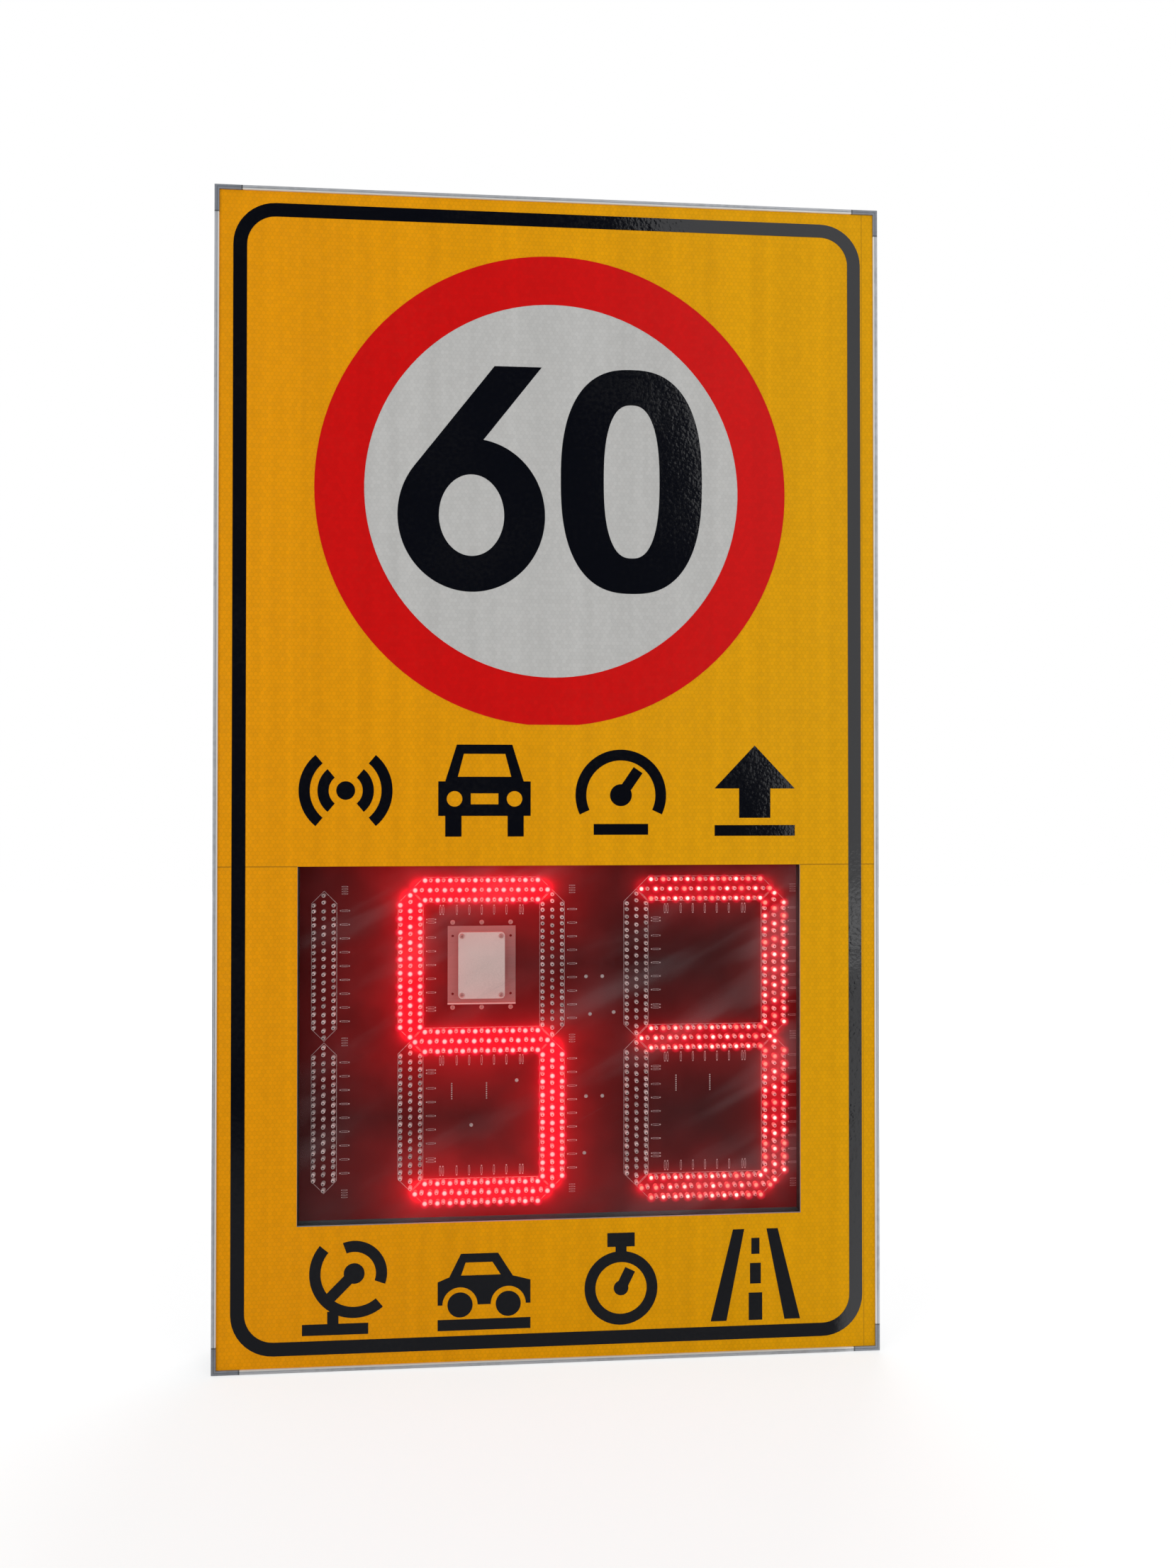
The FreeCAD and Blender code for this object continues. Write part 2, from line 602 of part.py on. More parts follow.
def save_legends():
    upper = (waves_mark, car_front_mark, gauge_mark, arrow_mark)
    lower = (dish_mark, car_side_mark, stopwatch_mark, road_mark)
    save("upper_legend_marks", legend_row(UPPER_LEGEND_Z, upper))
    save("lower_legend_marks", legend_row(LOWER_LEGEND_Z, lower))


# Window: gasket, pane, and the strips and sill that hold the pane off the board

def shroud_strips():
    half = WINDOW_WIDTH / 2 + SHROUD_SETBACK
    top = WINDOW_TOP + SHROUD_SETBACK
    bottom = WINDOW_BOTTOM - SHROUD_SETBACK
    outer = half + SHROUD_WIDTH
    left = block(-outer, -half, SHROUD_V, BOARD_V, bottom, top)
    right = block(half, outer, SHROUD_V, BOARD_V, bottom, top)
    return [left, right, block(-outer, outer, SHROUD_V, BOARD_V, top, top + SHROUD_WIDTH)]


def window_sill():
    """An upturned channel across the foot of the window."""
    half = WINDOW_WIDTH / 2 + SHROUD_SETBACK + SHROUD_WIDTH
    top = WINDOW_BOTTOM - SHROUD_SETBACK
    channel = block(-half, half, SHROUD_V, BOARD_V, top - SHROUD_WIDTH, top)
    floor = top - SHROUD_WIDTH + SILL_WALL
    return channel.cut(block(-half, half, SHROUD_V + SILL_WALL, BOARD_V - SILL_WALL, floor, top))


def save_window():
    gasket_width = WINDOW_WIDTH + 2 * SHROUD_SETBACK
    gasket_height = WINDOW_HEIGHT + 2 * SHROUD_SETBACK
    band = PANE_OVERLAP - SHROUD_SETBACK
    save("window_gasket", frame(0, WINDOW_Z, gasket_width, gasket_height, band, PANEL_BACK_V, PANE_V))
    pane_width = WINDOW_WIDTH + 2 * PANE_OVERLAP
    pane_height = WINDOW_HEIGHT + 2 * PANE_OVERLAP
    save("window_pane", centred_block(0, WINDOW_Z, pane_width, pane_height, PANE_V, SHROUD_V))
    save("shroud_strips", Part.makeCompound(shroud_strips()))
    save("window_sill", window_sill())


# Display board, its spacers and its lamps

def spacer_points():
    half = WINDOW_WIDTH / 2 + SPACER_OFFSET
    rise = WINDOW_HEIGHT / 2 + SPACER_OFFSET
    corners = [(x, WINDOW_Z + z) for x in (-half, 0, half) for z in (-rise, rise)]
    return corners + [(-half, WINDOW_Z), (half, WINDOW_Z)]


def cover_screw_points():
    across = RADAR_COVER_WIDTH / 2 - RADAR_BOSS_INSET
    up = RADAR_COVER_HEIGHT / 2 - RADAR_BOSS_INSET
    return [(RADAR_X + dx, RADAR_Z + dz) for dx in (-across, across) for dz in (-up, up)]


def lid_screw_points():
    rise = RADAR_PLATE_HEIGHT / 2 + LID_GAP + SMALL_HEAD_RADIUS
    across = RADAR_PLATE_WIDTH / 2 - RADAR_HOLE_INSET
    return [(RADAR_X + dx, RADAR_Z + dz) for dx in (-across, 0, across) for dz in (-rise, rise)]


def display_board():
    width = WINDOW_WIDTH + 2 * BOARD_OVERHANG
    height = WINDOW_HEIGHT + 2 * BOARD_OVERHANG
    board = centred_block(0, WINDOW_Z, width, height, BOARD_V, BOARD_BACK_V)
    points = spacer_points() + cover_screw_points() + lid_screw_points()
    return drill(board, points, SMALL_SCREW_RADIUS + HOLE_CLEARANCE, BOARD_V, BOARD_BACK_V)


def lamp(x, z):
    return centred_block(x, z, LAMP_DIAMETER, LAMP_DIAMETER, BOARD_V - LAMP_HEIGHT, BOARD_V)


def segment_lamps(start, end):
    """First and second lamps of a segment: three rows between two corners of a figure."""
    length = math.dist(start, end)
    along = ((end[0] - start[0]) / length, (end[1] - start[1]) / length)
    mid_gap = LAMP_DIAMETER + LAMP_CLEARANCE
    side_gap = LAMP_ROW_PITCH + mid_gap
    count = round((length - 2 * side_gap) / LAMP_PITCH) + 1
    firsts, seconds = [], []
    for offset, gap in ((-LAMP_ROW_PITCH, side_gap), (0, mid_gap), (LAMP_ROW_PITCH, side_gap)):
        lead = SECOND_LAMP_LEAD_RATIO * (length - 2 * gap) / (count - 1)
        row_x = start[0] + along[1] * offset
        row_z = start[1] - along[0] * offset
        for lamps, inset, number in ((firsts, gap, count), (seconds, gap + lead, count - 1)):
            for reach in spread(inset, length - inset, number):
                lamps.append(lamp(row_x + along[0] * reach, row_z + along[1] * reach))
    return firsts, seconds


def figure_segments(left):
    """The seven segments of a figure, by their usual letters."""
    right = left + DIGIT_WIDTH
    top, middle, bottom = FIGURE_TOP, WINDOW_Z, FIGURE_BOTTOM
    return {
        "a": ((left, top), (right, top)), "b": ((right, top), (right, middle)),
        "c": ((right, middle), (right, bottom)), "d": ((left, bottom), (right, bottom)),
        "e": ((left, middle), (left, bottom)), "f": ((left, top), (left, middle)),
        "g": ((left, middle), (right, middle)),
    }


def save_figure(name, segments, lit_letters):
    lit, unlit = [], []
    for letter, (start, end) in segments.items():
        firsts, seconds = segment_lamps(start, end)
        unlit += seconds
        if letter in lit_letters:
            lit += firsts
        else:
            unlit += firsts
    if lit:
        save("lamps_" + name + "_lit", Part.makeCompound(lit))
    save("lamps_" + name + "_unlit", Part.makeCompound(unlit))


def save_lamps():
    hundreds = figure_segments(HUNDREDS_X)
    save_figure("hundreds", {"e": hundreds["e"], "f": hundreds["f"]}, "")
    save_figure("tens", figure_segments(TENS_X), "acdfg")
    save_figure("units", figure_segments(UNITS_X), "abcdg")


def screw(x, z, seat, way, radius, head_radius, head_height, length):
    """A pan head screw whose head sits on a face at depth seat; way is 1 if it points back."""
    head_v = sorted((seat, seat - way * head_height))
    shank_v = sorted((seat, seat + way * length))
    head = peg(x, z, head_radius, *head_v)
    rim_v = seat - way * head_height
    rim = [e for e in head.Edges if e.isClosed() and abs(e.CenterOfMass.y - rim_v) < head_height / 4]
    return fuse([head.makeFillet(head_height / 2, rim), peg(x, z, radius, *shank_v)])


def small_screw(x, z, seat, way, length):
    return screw(x, z, seat, way, SMALL_SCREW_RADIUS, SMALL_HEAD_RADIUS, SMALL_HEAD_HEIGHT, length)


def save_board():
    save("display_board", display_board())
    bore = SMALL_SCREW_RADIUS + HOLE_CLEARANCE
    depth = SMALL_SCREW_BITE + BOARD_THICKNESS
    spacers = []
    for x, z in spacer_points():
        spacer = peg(x, z, SPACER_RADIUS, PANEL_BACK_V, BOARD_V)
        spacers.append(spacer.cut(peg(x, z, bore, BOARD_V - depth, BOARD_V)))
    save("board_spacers", Part.makeCompound(spacers))
    screws = [small_screw(x, z, BOARD_BACK_V, -1, depth) for x, z in spacer_points()]
    save("board_screws", Part.makeCompound(screws))
    reach = WINDOW_WIDTH / 2 - CHIP_LENGTH
    rows = [WINDOW_Z - CHIP_DROP - CHIP_ROW_STEP * row for row in range(CHIP_ROWS)]
    back = BOARD_BACK_V + CHIP_HEIGHT
    chips = [centred_block(x, z, CHIP_LENGTH, CHIP_WIDTH, BOARD_BACK_V, back)
             for x in spread(-reach, reach, CHIP_COLUMNS) for z in rows]
    save("driver_chips", Part.makeCompound(chips))
    save("display_socket", centred_block(
        DISPLAY_SOCKET_X, DISPLAY_SOCKET_Z, SOCKET_LENGTH, SOCKET_WIDTH, BOARD_BACK_V, DISPLAY_SOCKET_BACK_V))


# Radar unit: plate with a bent foot, hollow white cover over the antenna, lid behind the board

def radar_plate():
    plate = centred_block(RADAR_X, RADAR_Z, RADAR_PLATE_WIDTH, RADAR_PLATE_HEIGHT, RADAR_PLATE_V, BOARD_V)
    low = RADAR_Z - RADAR_PLATE_HEIGHT / 2
    half = RADAR_PLATE_WIDTH / 2
    foot = block(RADAR_X - half, RADAR_X + half, BOARD_V - RADAR_FOOT, BOARD_V,
                 low, low + RADAR_PLATE_THICKNESS)
    across = half - RADAR_HOLE_INSET
    up = RADAR_PLATE_HEIGHT / 2 - 2 * RADAR_HOLE_INSET
    holes = [(RADAR_X + dx, RADAR_Z + dz) for dx in (-across, across) for dz in (-up, up)]
    plate = drill(fuse([plate, foot]), holes, RADAR_HOLE_RADIUS, RADAR_PLATE_V, BOARD_V)
    return drill(plate, cover_screw_points(), SMALL_SCREW_RADIUS + HOLE_CLEARANCE, RADAR_PLATE_V, BOARD_V)


def radar_cover():
    wall = RADAR_COVER_WALL
    inner_radius = RADAR_COVER_RADIUS - wall
    inner_width = RADAR_COVER_WIDTH - 2 * wall
    inner_height = RADAR_COVER_HEIGHT - 2 * wall
    cover = rounded_block(RADAR_X, RADAR_Z, RADAR_COVER_WIDTH, RADAR_COVER_HEIGHT, RADAR_COVER_V,
                          RADAR_PLATE_V, RADAR_COVER_RADIUS)
    hollow = rounded_block(RADAR_X, RADAR_Z, inner_width, inner_height, RADAR_COVER_V + wall,
                           RADAR_PLATE_V, inner_radius)
    bosses = [peg(x, z, RADAR_BOSS_RADIUS, RADAR_COVER_V, RADAR_PLATE_V) for x, z in cover_screw_points()]
    cover = fuse([cover.cut(hollow)] + bosses)
    bore = SMALL_SCREW_RADIUS + HOLE_CLEARANCE
    return drill(cover, cover_screw_points(), bore, RADAR_COVER_V, RADAR_PLATE_V)


def antenna_board():
    clear = 2 * (RADAR_BOSS_INSET + RADAR_BOSS_RADIUS + ANTENNA_CLEARANCE)
    return centred_block(RADAR_X, RADAR_Z, RADAR_COVER_WIDTH - clear, RADAR_COVER_HEIGHT - clear,
                         RADAR_PLATE_V - BOARD_THICKNESS, RADAR_PLATE_V)


def radar_lid():
    rise = RADAR_PLATE_HEIGHT / 2 + LID_GAP + SMALL_HEAD_RADIUS
    flange_back = BOARD_BACK_V + LID_WALL
    box_back = BOARD_BACK_V + LID_DEPTH
    box_height = 2 * rise - LID_FLANGE
    flange = centred_block(RADAR_X, RADAR_Z, RADAR_PLATE_WIDTH, 2 * rise + LID_FLANGE,
                           BOARD_BACK_V, flange_back)
    box = centred_block(RADAR_X, RADAR_Z, RADAR_PLATE_WIDTH, box_height, BOARD_BACK_V, box_back)
    inside = centred_block(RADAR_X, RADAR_Z, RADAR_PLATE_WIDTH - 2 * LID_WALL, box_height - 2 * LID_WALL,
                           BOARD_BACK_V, box_back - LID_WALL)
    lid = fuse([flange, box]).cut(inside)
    return drill(lid, lid_screw_points(), SMALL_SCREW_RADIUS + HOLE_CLEARANCE, BOARD_BACK_V, flange_back)


def save_radar():
    save("radar_plate", radar_plate())
    save("radar_cover", radar_cover())
    save("antenna_board", antenna_board())
    save("radar_lid", radar_lid())
    through = RADAR_COVER_DEPTH + RADAR_PLATE_THICKNESS + BOARD_THICKNESS
    screws = [small_screw(x, z, RADAR_COVER_V, 1, through) for x, z in cover_screw_points()]
    save("radar_cover_screws", Part.makeCompound(screws))
    nut_v = BOARD_BACK_V + LID_WALL
    through = BOARD_THICKNESS + LID_WALL + NUT_HEIGHT
    screws = [small_screw(x, z, BOARD_V, 1, through) for x, z in lid_screw_points()]
    save("radar_lid_screws", Part.makeCompound(screws))
    nuts = []
    for x, z in lid_screw_points():
        nut = hexagon(x, z, SMALL_HEAD_RADIUS, nut_v, nut_v + NUT_HEIGHT)
        nuts.append(nut.cut(peg(x, z, SMALL_SCREW_RADIUS + HOLE_CLEARANCE, nut_v, nut_v + NUT_HEIGHT)))
    save("radar_lid_nuts", Part.makeCompound(nuts))


# Gear on a plate behind the upper half of the front

def gear_spacer_points():
    across = GEAR_PLATE_WIDTH / 2 - GEAR_MARGIN
    up = GEAR_PLATE_HEIGHT / 2 - GEAR_MARGIN
    return [(dx, GEAR_RISE + dz) for dx in (-across, across) for dz in (-up, up)]


def control_spacer_points():
    inset = GEAR_SPACER_RADIUS + SOCKET_WIDTH
    xs = (GEAR_RIGHT + inset, GEAR_RIGHT + CONTROL_WIDTH - inset)
    return [(x, z) for x in xs for z in (CONTROL_BOTTOM + inset, CONTROL_TOP - GEAR_SPACER_RADIUS)]


def power_supply():
    """A sheet metal case, open at the end where its terminals are."""
    case = block(GEAR_LEFT, SUPPLY_END, GEAR_V - SUPPLY_DEPTH, GEAR_V, SUPPLY_BOTTOM, SUPPLY_TOP)
    wall = SUPPLY_WALL
    return case.cut(block(GEAR_LEFT + wall, SUPPLY_END, GEAR_V - SUPPLY_DEPTH + wall, GEAR_V - wall,
                          SUPPLY_BOTTOM + wall, SUPPLY_TOP - wall))


def straight_lead(z):
    return Part.makeCylinder(LEAD_RADIUS, GEAR_LEAD_LENGTH, vec(SUPPLY_END, SOCKET_LEAD_V, z), vec(1, 0, 0))


def display_lead():
    """Down from the control board, then round a quarter turn to the board's socket."""
    bend = SOCKET_LEAD_V - DISPLAY_SOCKET_BACK_V - LEAD_STRAIGHT
    x, z = DISPLAY_SOCKET_X, DISPLAY_SOCKET_Z
    turn = z + bend
    corner = bend * (1 - math.sqrt(0.5))
    start = vec(x, SOCKET_LEAD_V, CONTROL_BOTTOM)
    bend_top = vec(x, SOCKET_LEAD_V, turn)
    bend_mid = vec(x, SOCKET_LEAD_V - corner, z + corner)
    bend_low = vec(x, SOCKET_LEAD_V - bend, z)
    end = vec(x, DISPLAY_SOCKET_BACK_V, z)
    edges = [Part.makeLine(start, bend_top), Part.Arc(bend_top, bend_mid, bend_low).toShape(),
             Part.makeLine(bend_low, end)]
    ring = Part.Wire(Part.makeCircle(LEAD_RADIUS, start, vec(0, 0, -1)))
    return Part.Wire(edges).makePipeShell([ring], True, False)


def control_sockets():
    """A power socket at the control board's left edge and a lead socket at its foot."""
    front = CONTROL_V - SOCKET_HEIGHT
    side = block(GEAR_RIGHT, GEAR_RIGHT + SOCKET_WIDTH, front, CONTROL_V,
                 CONTROL_LEAD_Z - SOCKET_LENGTH / 2, CONTROL_LEAD_Z + SOCKET_LENGTH / 2)
    half = SOCKET_LENGTH / 2
    foot = block(DISPLAY_SOCKET_X - half, DISPLAY_SOCKET_X + half, front, CONTROL_V,
                 CONTROL_BOTTOM, CONTROL_BOTTOM + SOCKET_WIDTH)
    chip_z = (CONTROL_TOP + CONTROL_BOTTOM) / 2
    chip = centred_block(DISPLAY_SOCKET_X, chip_z, CHIP_LENGTH, CHIP_LENGTH,
                         CONTROL_V - CHIP_HEIGHT, CONTROL_V)
    return Part.makeCompound([side, foot, chip])


def save_gear():
    bore = PANEL_SCREW_RADIUS + HOLE_CLEARANCE
    back = GEAR_V + GEAR_PLATE_THICKNESS
    plate = centred_block(0, GEAR_RISE, GEAR_PLATE_WIDTH, GEAR_PLATE_HEIGHT, GEAR_V, back)
    save("gear_plate", drill(plate, gear_spacer_points(), bore, GEAR_V, back))
    spacers, screws = [], []
    for x, z in gear_spacer_points():
        spacer = peg(x, z, GEAR_SPACER_RADIUS, back, REAR_PANEL_V)
        spacers.append(spacer.cut(peg(x, z, bore, back, REAR_PANEL_V)))
        screws.append(screw(x, z, GEAR_V, 1, PANEL_SCREW_RADIUS, PANEL_HEAD_RADIUS, PANEL_HEAD_HEIGHT,
                            PANEL_SCREW_BITE))
    save("gear_spacers", Part.makeCompound(spacers))
    save("gear_screws", Part.makeCompound(screws))
    save("power_supply", power_supply())
    gap = SUPPLY_WALL + SUPPLY_TERMINAL_CLEARANCE
    save("power_supply_terminals", block(
        SUPPLY_END - SUPPLY_TERMINAL_LENGTH, SUPPLY_END, GEAR_V - SUPPLY_DEPTH + gap, GEAR_V - SUPPLY_WALL,
        SUPPLY_BOTTOM + gap, SUPPLY_TOP - gap))
    board = block(GEAR_RIGHT, GEAR_RIGHT + CONTROL_WIDTH, CONTROL_V, CONTROL_V + BOARD_THICKNESS,
                  CONTROL_BOTTOM, CONTROL_TOP)
    save("control_board", board)
    feet = [peg(x, z, GEAR_SPACER_RADIUS, CONTROL_V + BOARD_THICKNESS, GEAR_V)
            for x, z in control_spacer_points()]
    save("control_board_feet", Part.makeCompound(feet))
    save("control_board_parts", control_sockets())
    half = TERMINAL_BLOCK_HEIGHT / 2
    save("mains_terminal_block", block(
        GEAR_RIGHT, GEAR_RIGHT + TERMINAL_BLOCK_LENGTH, GEAR_V - TERMINAL_BLOCK_DEPTH, GEAR_V,
        MAINS_LEAD_Z - half, MAINS_LEAD_Z + half))
    save("gear_leads", Part.makeCompound([straight_lead(MAINS_LEAD_Z), straight_lead(CONTROL_LEAD_Z)]))
    save("display_lead", display_lead())


# Back of the case: seal, panel, pole rails and cable gland

def rear_plate(inset, v0, v1):
    return centred_block(0, 0, SIGN_WIDTH - 2 * inset, SIGN_HEIGHT - 2 * inset, v0, v1)


def rear_holes(solid, v0, v1):
    solid = drill(solid, rear_screw_points(), PANEL_SCREW_RADIUS + HOLE_CLEARANCE, v0, v1)
    return drill(solid, all_rail_bolt_points(), RAIL_BOLT_RADIUS + HOLE_CLEARANCE, v0, v1)


def clamp_slot(x, z):
    """A slot with round ends through a pole rail's top."""
    front = RAIL_TOP_V - RAIL_THICKNESS
    reach = (SLOT_LENGTH - SLOT_WIDTH) / 2
    middle = centred_block(x, z, 2 * reach, SLOT_WIDTH, front, RAIL_TOP_V)
    ends = [peg(x + dx, z, SLOT_WIDTH / 2, front, RAIL_TOP_V) for dx in (-reach, reach)]
    return fuse([middle] + ends)


def mounting_rail(z):
    """A folded hat section along x, with a slot for a clamp bolt at each side of the pole."""
    length = SIGN_WIDTH - 2 * RAIL_END_INSET
    height = RAIL_TOP + 2 * RAIL_FLANGE
    flange_v = CASE_DEPTH + RAIL_THICKNESS
    flange = centred_block(0, z, length, height, CASE_DEPTH, flange_v)
    hat = centred_block(0, z, length, RAIL_TOP, CASE_DEPTH, RAIL_TOP_V)
    inside = centred_block(0, z, length, RAIL_TOP - 2 * RAIL_THICKNESS,
                           CASE_DEPTH, RAIL_TOP_V - RAIL_THICKNESS)
    slots = [clamp_slot(x, z) for x in (-SLOT_SPACING / 2, SLOT_SPACING / 2)]
    rail = fuse([flange, hat]).cut([inside] + slots)
    return drill(rail, rail_bolt_points(z), RAIL_BOLT_RADIUS + HOLE_CLEARANCE, CASE_DEPTH, flange_v)


def rail_bolt(x, z):
    seat = CASE_DEPTH + RAIL_THICKNESS
    head = hexagon(x, z, RAIL_BOLT_HEAD_RADIUS, seat, seat + RAIL_BOLT_HEAD_HEIGHT)
    return fuse([head, peg(x, z, RAIL_BOLT_RADIUS, seat - RAIL_BOLT_BITE, seat)])


def gland_point():
    return GLAND_X, -SIGN_TOP + GLAND_RISE


def save_gland():
    x, z = gland_point()
    hex_back = CASE_DEPTH + GLAND_HEX_HEIGHT
    thread_front = CASE_DEPTH - GLAND_THREAD_LENGTH
    body = fuse([hexagon(x, z, GLAND_HEX_RADIUS, CASE_DEPTH, hex_back),
                 peg(x, z, GLAND_THREAD_RADIUS, thread_front, CASE_DEPTH)])
    save("gland_body", body.cut(peg(x, z, GLAND_BORE_RADIUS, thread_front, hex_back)))
    cap_back = hex_back + GLAND_CAP_HEIGHT
    cap = peg(x, z, GLAND_CAP_RADIUS, hex_back, cap_back)
    rim = [e for e in cap.Edges if e.isClosed() and e.CenterOfMass.y > (hex_back + cap_back) / 2]
    cap = cap.makeFillet(GLAND_CAP_ROUND, rim)
    save("gland_cap", cap.cut(peg(x, z, GLAND_CABLE_RADIUS, hex_back, cap_back)))
    nut_front = REAR_PANEL_V - GLAND_NUT_HEIGHT
    nut = hexagon(x, z, GLAND_HEX_RADIUS, nut_front, REAR_PANEL_V)
    save("gland_nut", nut.cut(peg(x, z, GLAND_THREAD_RADIUS + HOLE_CLEARANCE, nut_front, REAR_PANEL_V)))


def save_back():
    edge = WALL + EDGE_CLEARANCE
    seal = rear_plate(edge, REAR_SEAL_V, REAR_PANEL_V)
    seal = seal.cut(rear_plate(TUBE_WIDTH - REAR_SEAL_INSET, REAR_SEAL_V, REAR_PANEL_V))
    save("rear_seal", rear_holes(seal, REAR_SEAL_V, REAR_PANEL_V))
    panel = rear_holes(rear_plate(edge, REAR_PANEL_V, CASE_DEPTH), REAR_PANEL_V, CASE_DEPTH)
    bore = GLAND_THREAD_RADIUS + HOLE_CLEARANCE
    save("rear_panel", drill(panel, [gland_point()], bore, REAR_PANEL_V, CASE_DEPTH))
    screws = [screw(x, z, CASE_DEPTH, -1, PANEL_SCREW_RADIUS, PANEL_HEAD_RADIUS, PANEL_HEAD_HEIGHT,
                    PANEL_SCREW_BITE) for x, z in rear_screw_points()]
    save("rear_panel_screws", Part.makeCompound(screws))
    save("mounting_rail_upper", mounting_rail(RAIL_SPACING / 2))
    save("mounting_rail_lower", mounting_rail(-RAIL_SPACING / 2))
    bolts = [rail_bolt(x, z) for x, z in all_rail_bolt_points()]
    save("mounting_rail_bolts", Part.makeCompound(bolts))
    save_gland()


os.makedirs("parts", exist_ok=True)
save_frame()
save_front()
save_legends()
save_window()
save_board()
save_lamps()
save_radar()
save_gear()
save_back()
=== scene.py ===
"""Looks of the radar speed sign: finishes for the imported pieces, lamps, board print and small hardware."""

import functools
import logging
import math
from collections.abc import Iterable, Mapping, Sequence
from dataclasses import dataclass, field
from enum import Enum

import bmesh
import bpy
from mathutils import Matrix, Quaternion, Vector


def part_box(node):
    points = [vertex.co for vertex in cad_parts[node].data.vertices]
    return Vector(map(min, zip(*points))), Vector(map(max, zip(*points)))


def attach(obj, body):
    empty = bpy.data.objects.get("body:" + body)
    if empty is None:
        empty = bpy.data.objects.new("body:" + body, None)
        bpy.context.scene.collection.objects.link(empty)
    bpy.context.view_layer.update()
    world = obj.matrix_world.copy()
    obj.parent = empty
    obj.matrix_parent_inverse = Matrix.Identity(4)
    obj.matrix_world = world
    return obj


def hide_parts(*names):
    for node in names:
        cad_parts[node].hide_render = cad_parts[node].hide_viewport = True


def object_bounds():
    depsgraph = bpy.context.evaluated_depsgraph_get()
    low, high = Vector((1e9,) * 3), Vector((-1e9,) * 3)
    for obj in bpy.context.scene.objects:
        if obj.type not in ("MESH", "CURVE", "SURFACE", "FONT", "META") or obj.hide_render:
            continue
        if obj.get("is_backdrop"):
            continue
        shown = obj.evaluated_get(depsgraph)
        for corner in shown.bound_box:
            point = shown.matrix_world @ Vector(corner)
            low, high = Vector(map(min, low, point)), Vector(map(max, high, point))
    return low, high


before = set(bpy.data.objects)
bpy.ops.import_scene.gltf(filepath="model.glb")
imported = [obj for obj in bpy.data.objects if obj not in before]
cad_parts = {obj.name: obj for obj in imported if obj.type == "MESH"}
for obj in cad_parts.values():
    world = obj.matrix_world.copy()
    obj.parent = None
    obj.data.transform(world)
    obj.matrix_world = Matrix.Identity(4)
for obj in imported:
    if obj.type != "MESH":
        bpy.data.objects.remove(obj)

LOG = logging.getLogger("radar_sign")
MM = 0.001
BODY = "root"
SHARP_ANGLE = math.radians(40)
WELD = 0.01 * MM
WHITE = (1.0, 1.0, 1.0)
BLACK = (0.0, 0.0, 0.0)
STAIN_SHADE = 0.75

Triple = tuple[float, float, float]
Colour = Triple
Point = tuple[float, float]
Mesh = bpy.types.Mesh
Node = bpy.types.Node
Object = bpy.types.Object
Shape = bmesh.types.BMesh
Socket = bpy.types.NodeSocket
Tree = bpy.types.NodeTree
Feed = Socket | float | tuple | str | bool | bpy.types.ID


class Axis(Enum):
    """The direction in which a metal's grain runs."""

    ACROSS = (1.0, 0.0, 0.0)
    UPRIGHT = (0.0, 0.0, 1.0)


class Bar(Enum):
    """The seven bars of a lamp figure: start and end as shares of its width and height, from its foot."""

    TOP = ((0.0, 1.0), (1.0, 1.0))
    UPPER_RIGHT = ((1.0, 1.0), (1.0, 0.5))
    LOWER_RIGHT = ((1.0, 0.5), (1.0, 0.0))
    BOTTOM = ((0.0, 0.0), (1.0, 0.0))
    LOWER_LEFT = ((0.0, 0.5), (0.0, 0.0))
    UPPER_LEFT = ((0.0, 1.0), (0.0, 0.5))
    MIDDLE = ((0.0, 0.5), (1.0, 0.5))


RIGHT_BARS = (Bar.UPPER_RIGHT, Bar.LOWER_RIGHT)
LEFT_BARS = (Bar.LOWER_LEFT, Bar.UPPER_LEFT)
FIVE = (Bar.TOP, Bar.LOWER_RIGHT, Bar.BOTTOM, Bar.UPPER_LEFT, Bar.MIDDLE)
THREE = (Bar.TOP, *RIGHT_BARS, Bar.BOTTOM, Bar.MIDDLE)


class Facing(Enum):
    """The way that a fastener's head points along the sign's depth."""

    FRONT = -1
    BACK = 1


def paint(red: int, green: int, blue: int) -> Colour:
    """Turns a display colour, from 0 to 255, into the linear values that a shader takes."""
    shares = [value / 255 for value in (red, green, blue)]
    return tuple(s / 12.92 if s <= 0.04045 else ((s + 0.055) / 1.055) ** 2.4 for s in shares)


def opaque(colour: Colour) -> tuple[float, float, float, float]:
    """Gives a colour with full alpha."""
    return (*colour, 1.0)


def darker(colour: Colour, share: float) -> Colour:
    """Gives a share of a colour."""
    return tuple(value * share for value in colour)


class Graph:
    """A node tree, with short calls that add nodes and feed their sockets."""

    def __init__(self, tree: Tree) -> None:
        """Keeps the tree that the calls work on."""
        self.tree = tree

    def feed(self, sockets: Mapping[str | int, Socket], values: Mapping[str | int, Feed]) -> None:
        """Links other sockets to inputs, or sets their values.

        Args:
            sockets: A node's inputs.
            values: A socket to link from or a plain value, by the input's name or place.
        """
        for name, value in values.items():
            if isinstance(value, Socket):
                self.tree.links.new(value, sockets[name])
            else:
                sockets[name].default_value = value

    def add(self, kind: str, inputs: Mapping[str | int, Feed] | None = None, **settings: object) -> Node:
        """Adds a node.

        Args:
            kind: The node's type name.
            inputs: What feeds its inputs, by name or place.
            settings: The node's own properties.

        Returns:
            The new node.
        """
        node = self.tree.nodes.new(kind)
        for name, value in settings.items():
            setattr(node, name, value)
        self.feed(node.inputs, inputs or {})
        return node


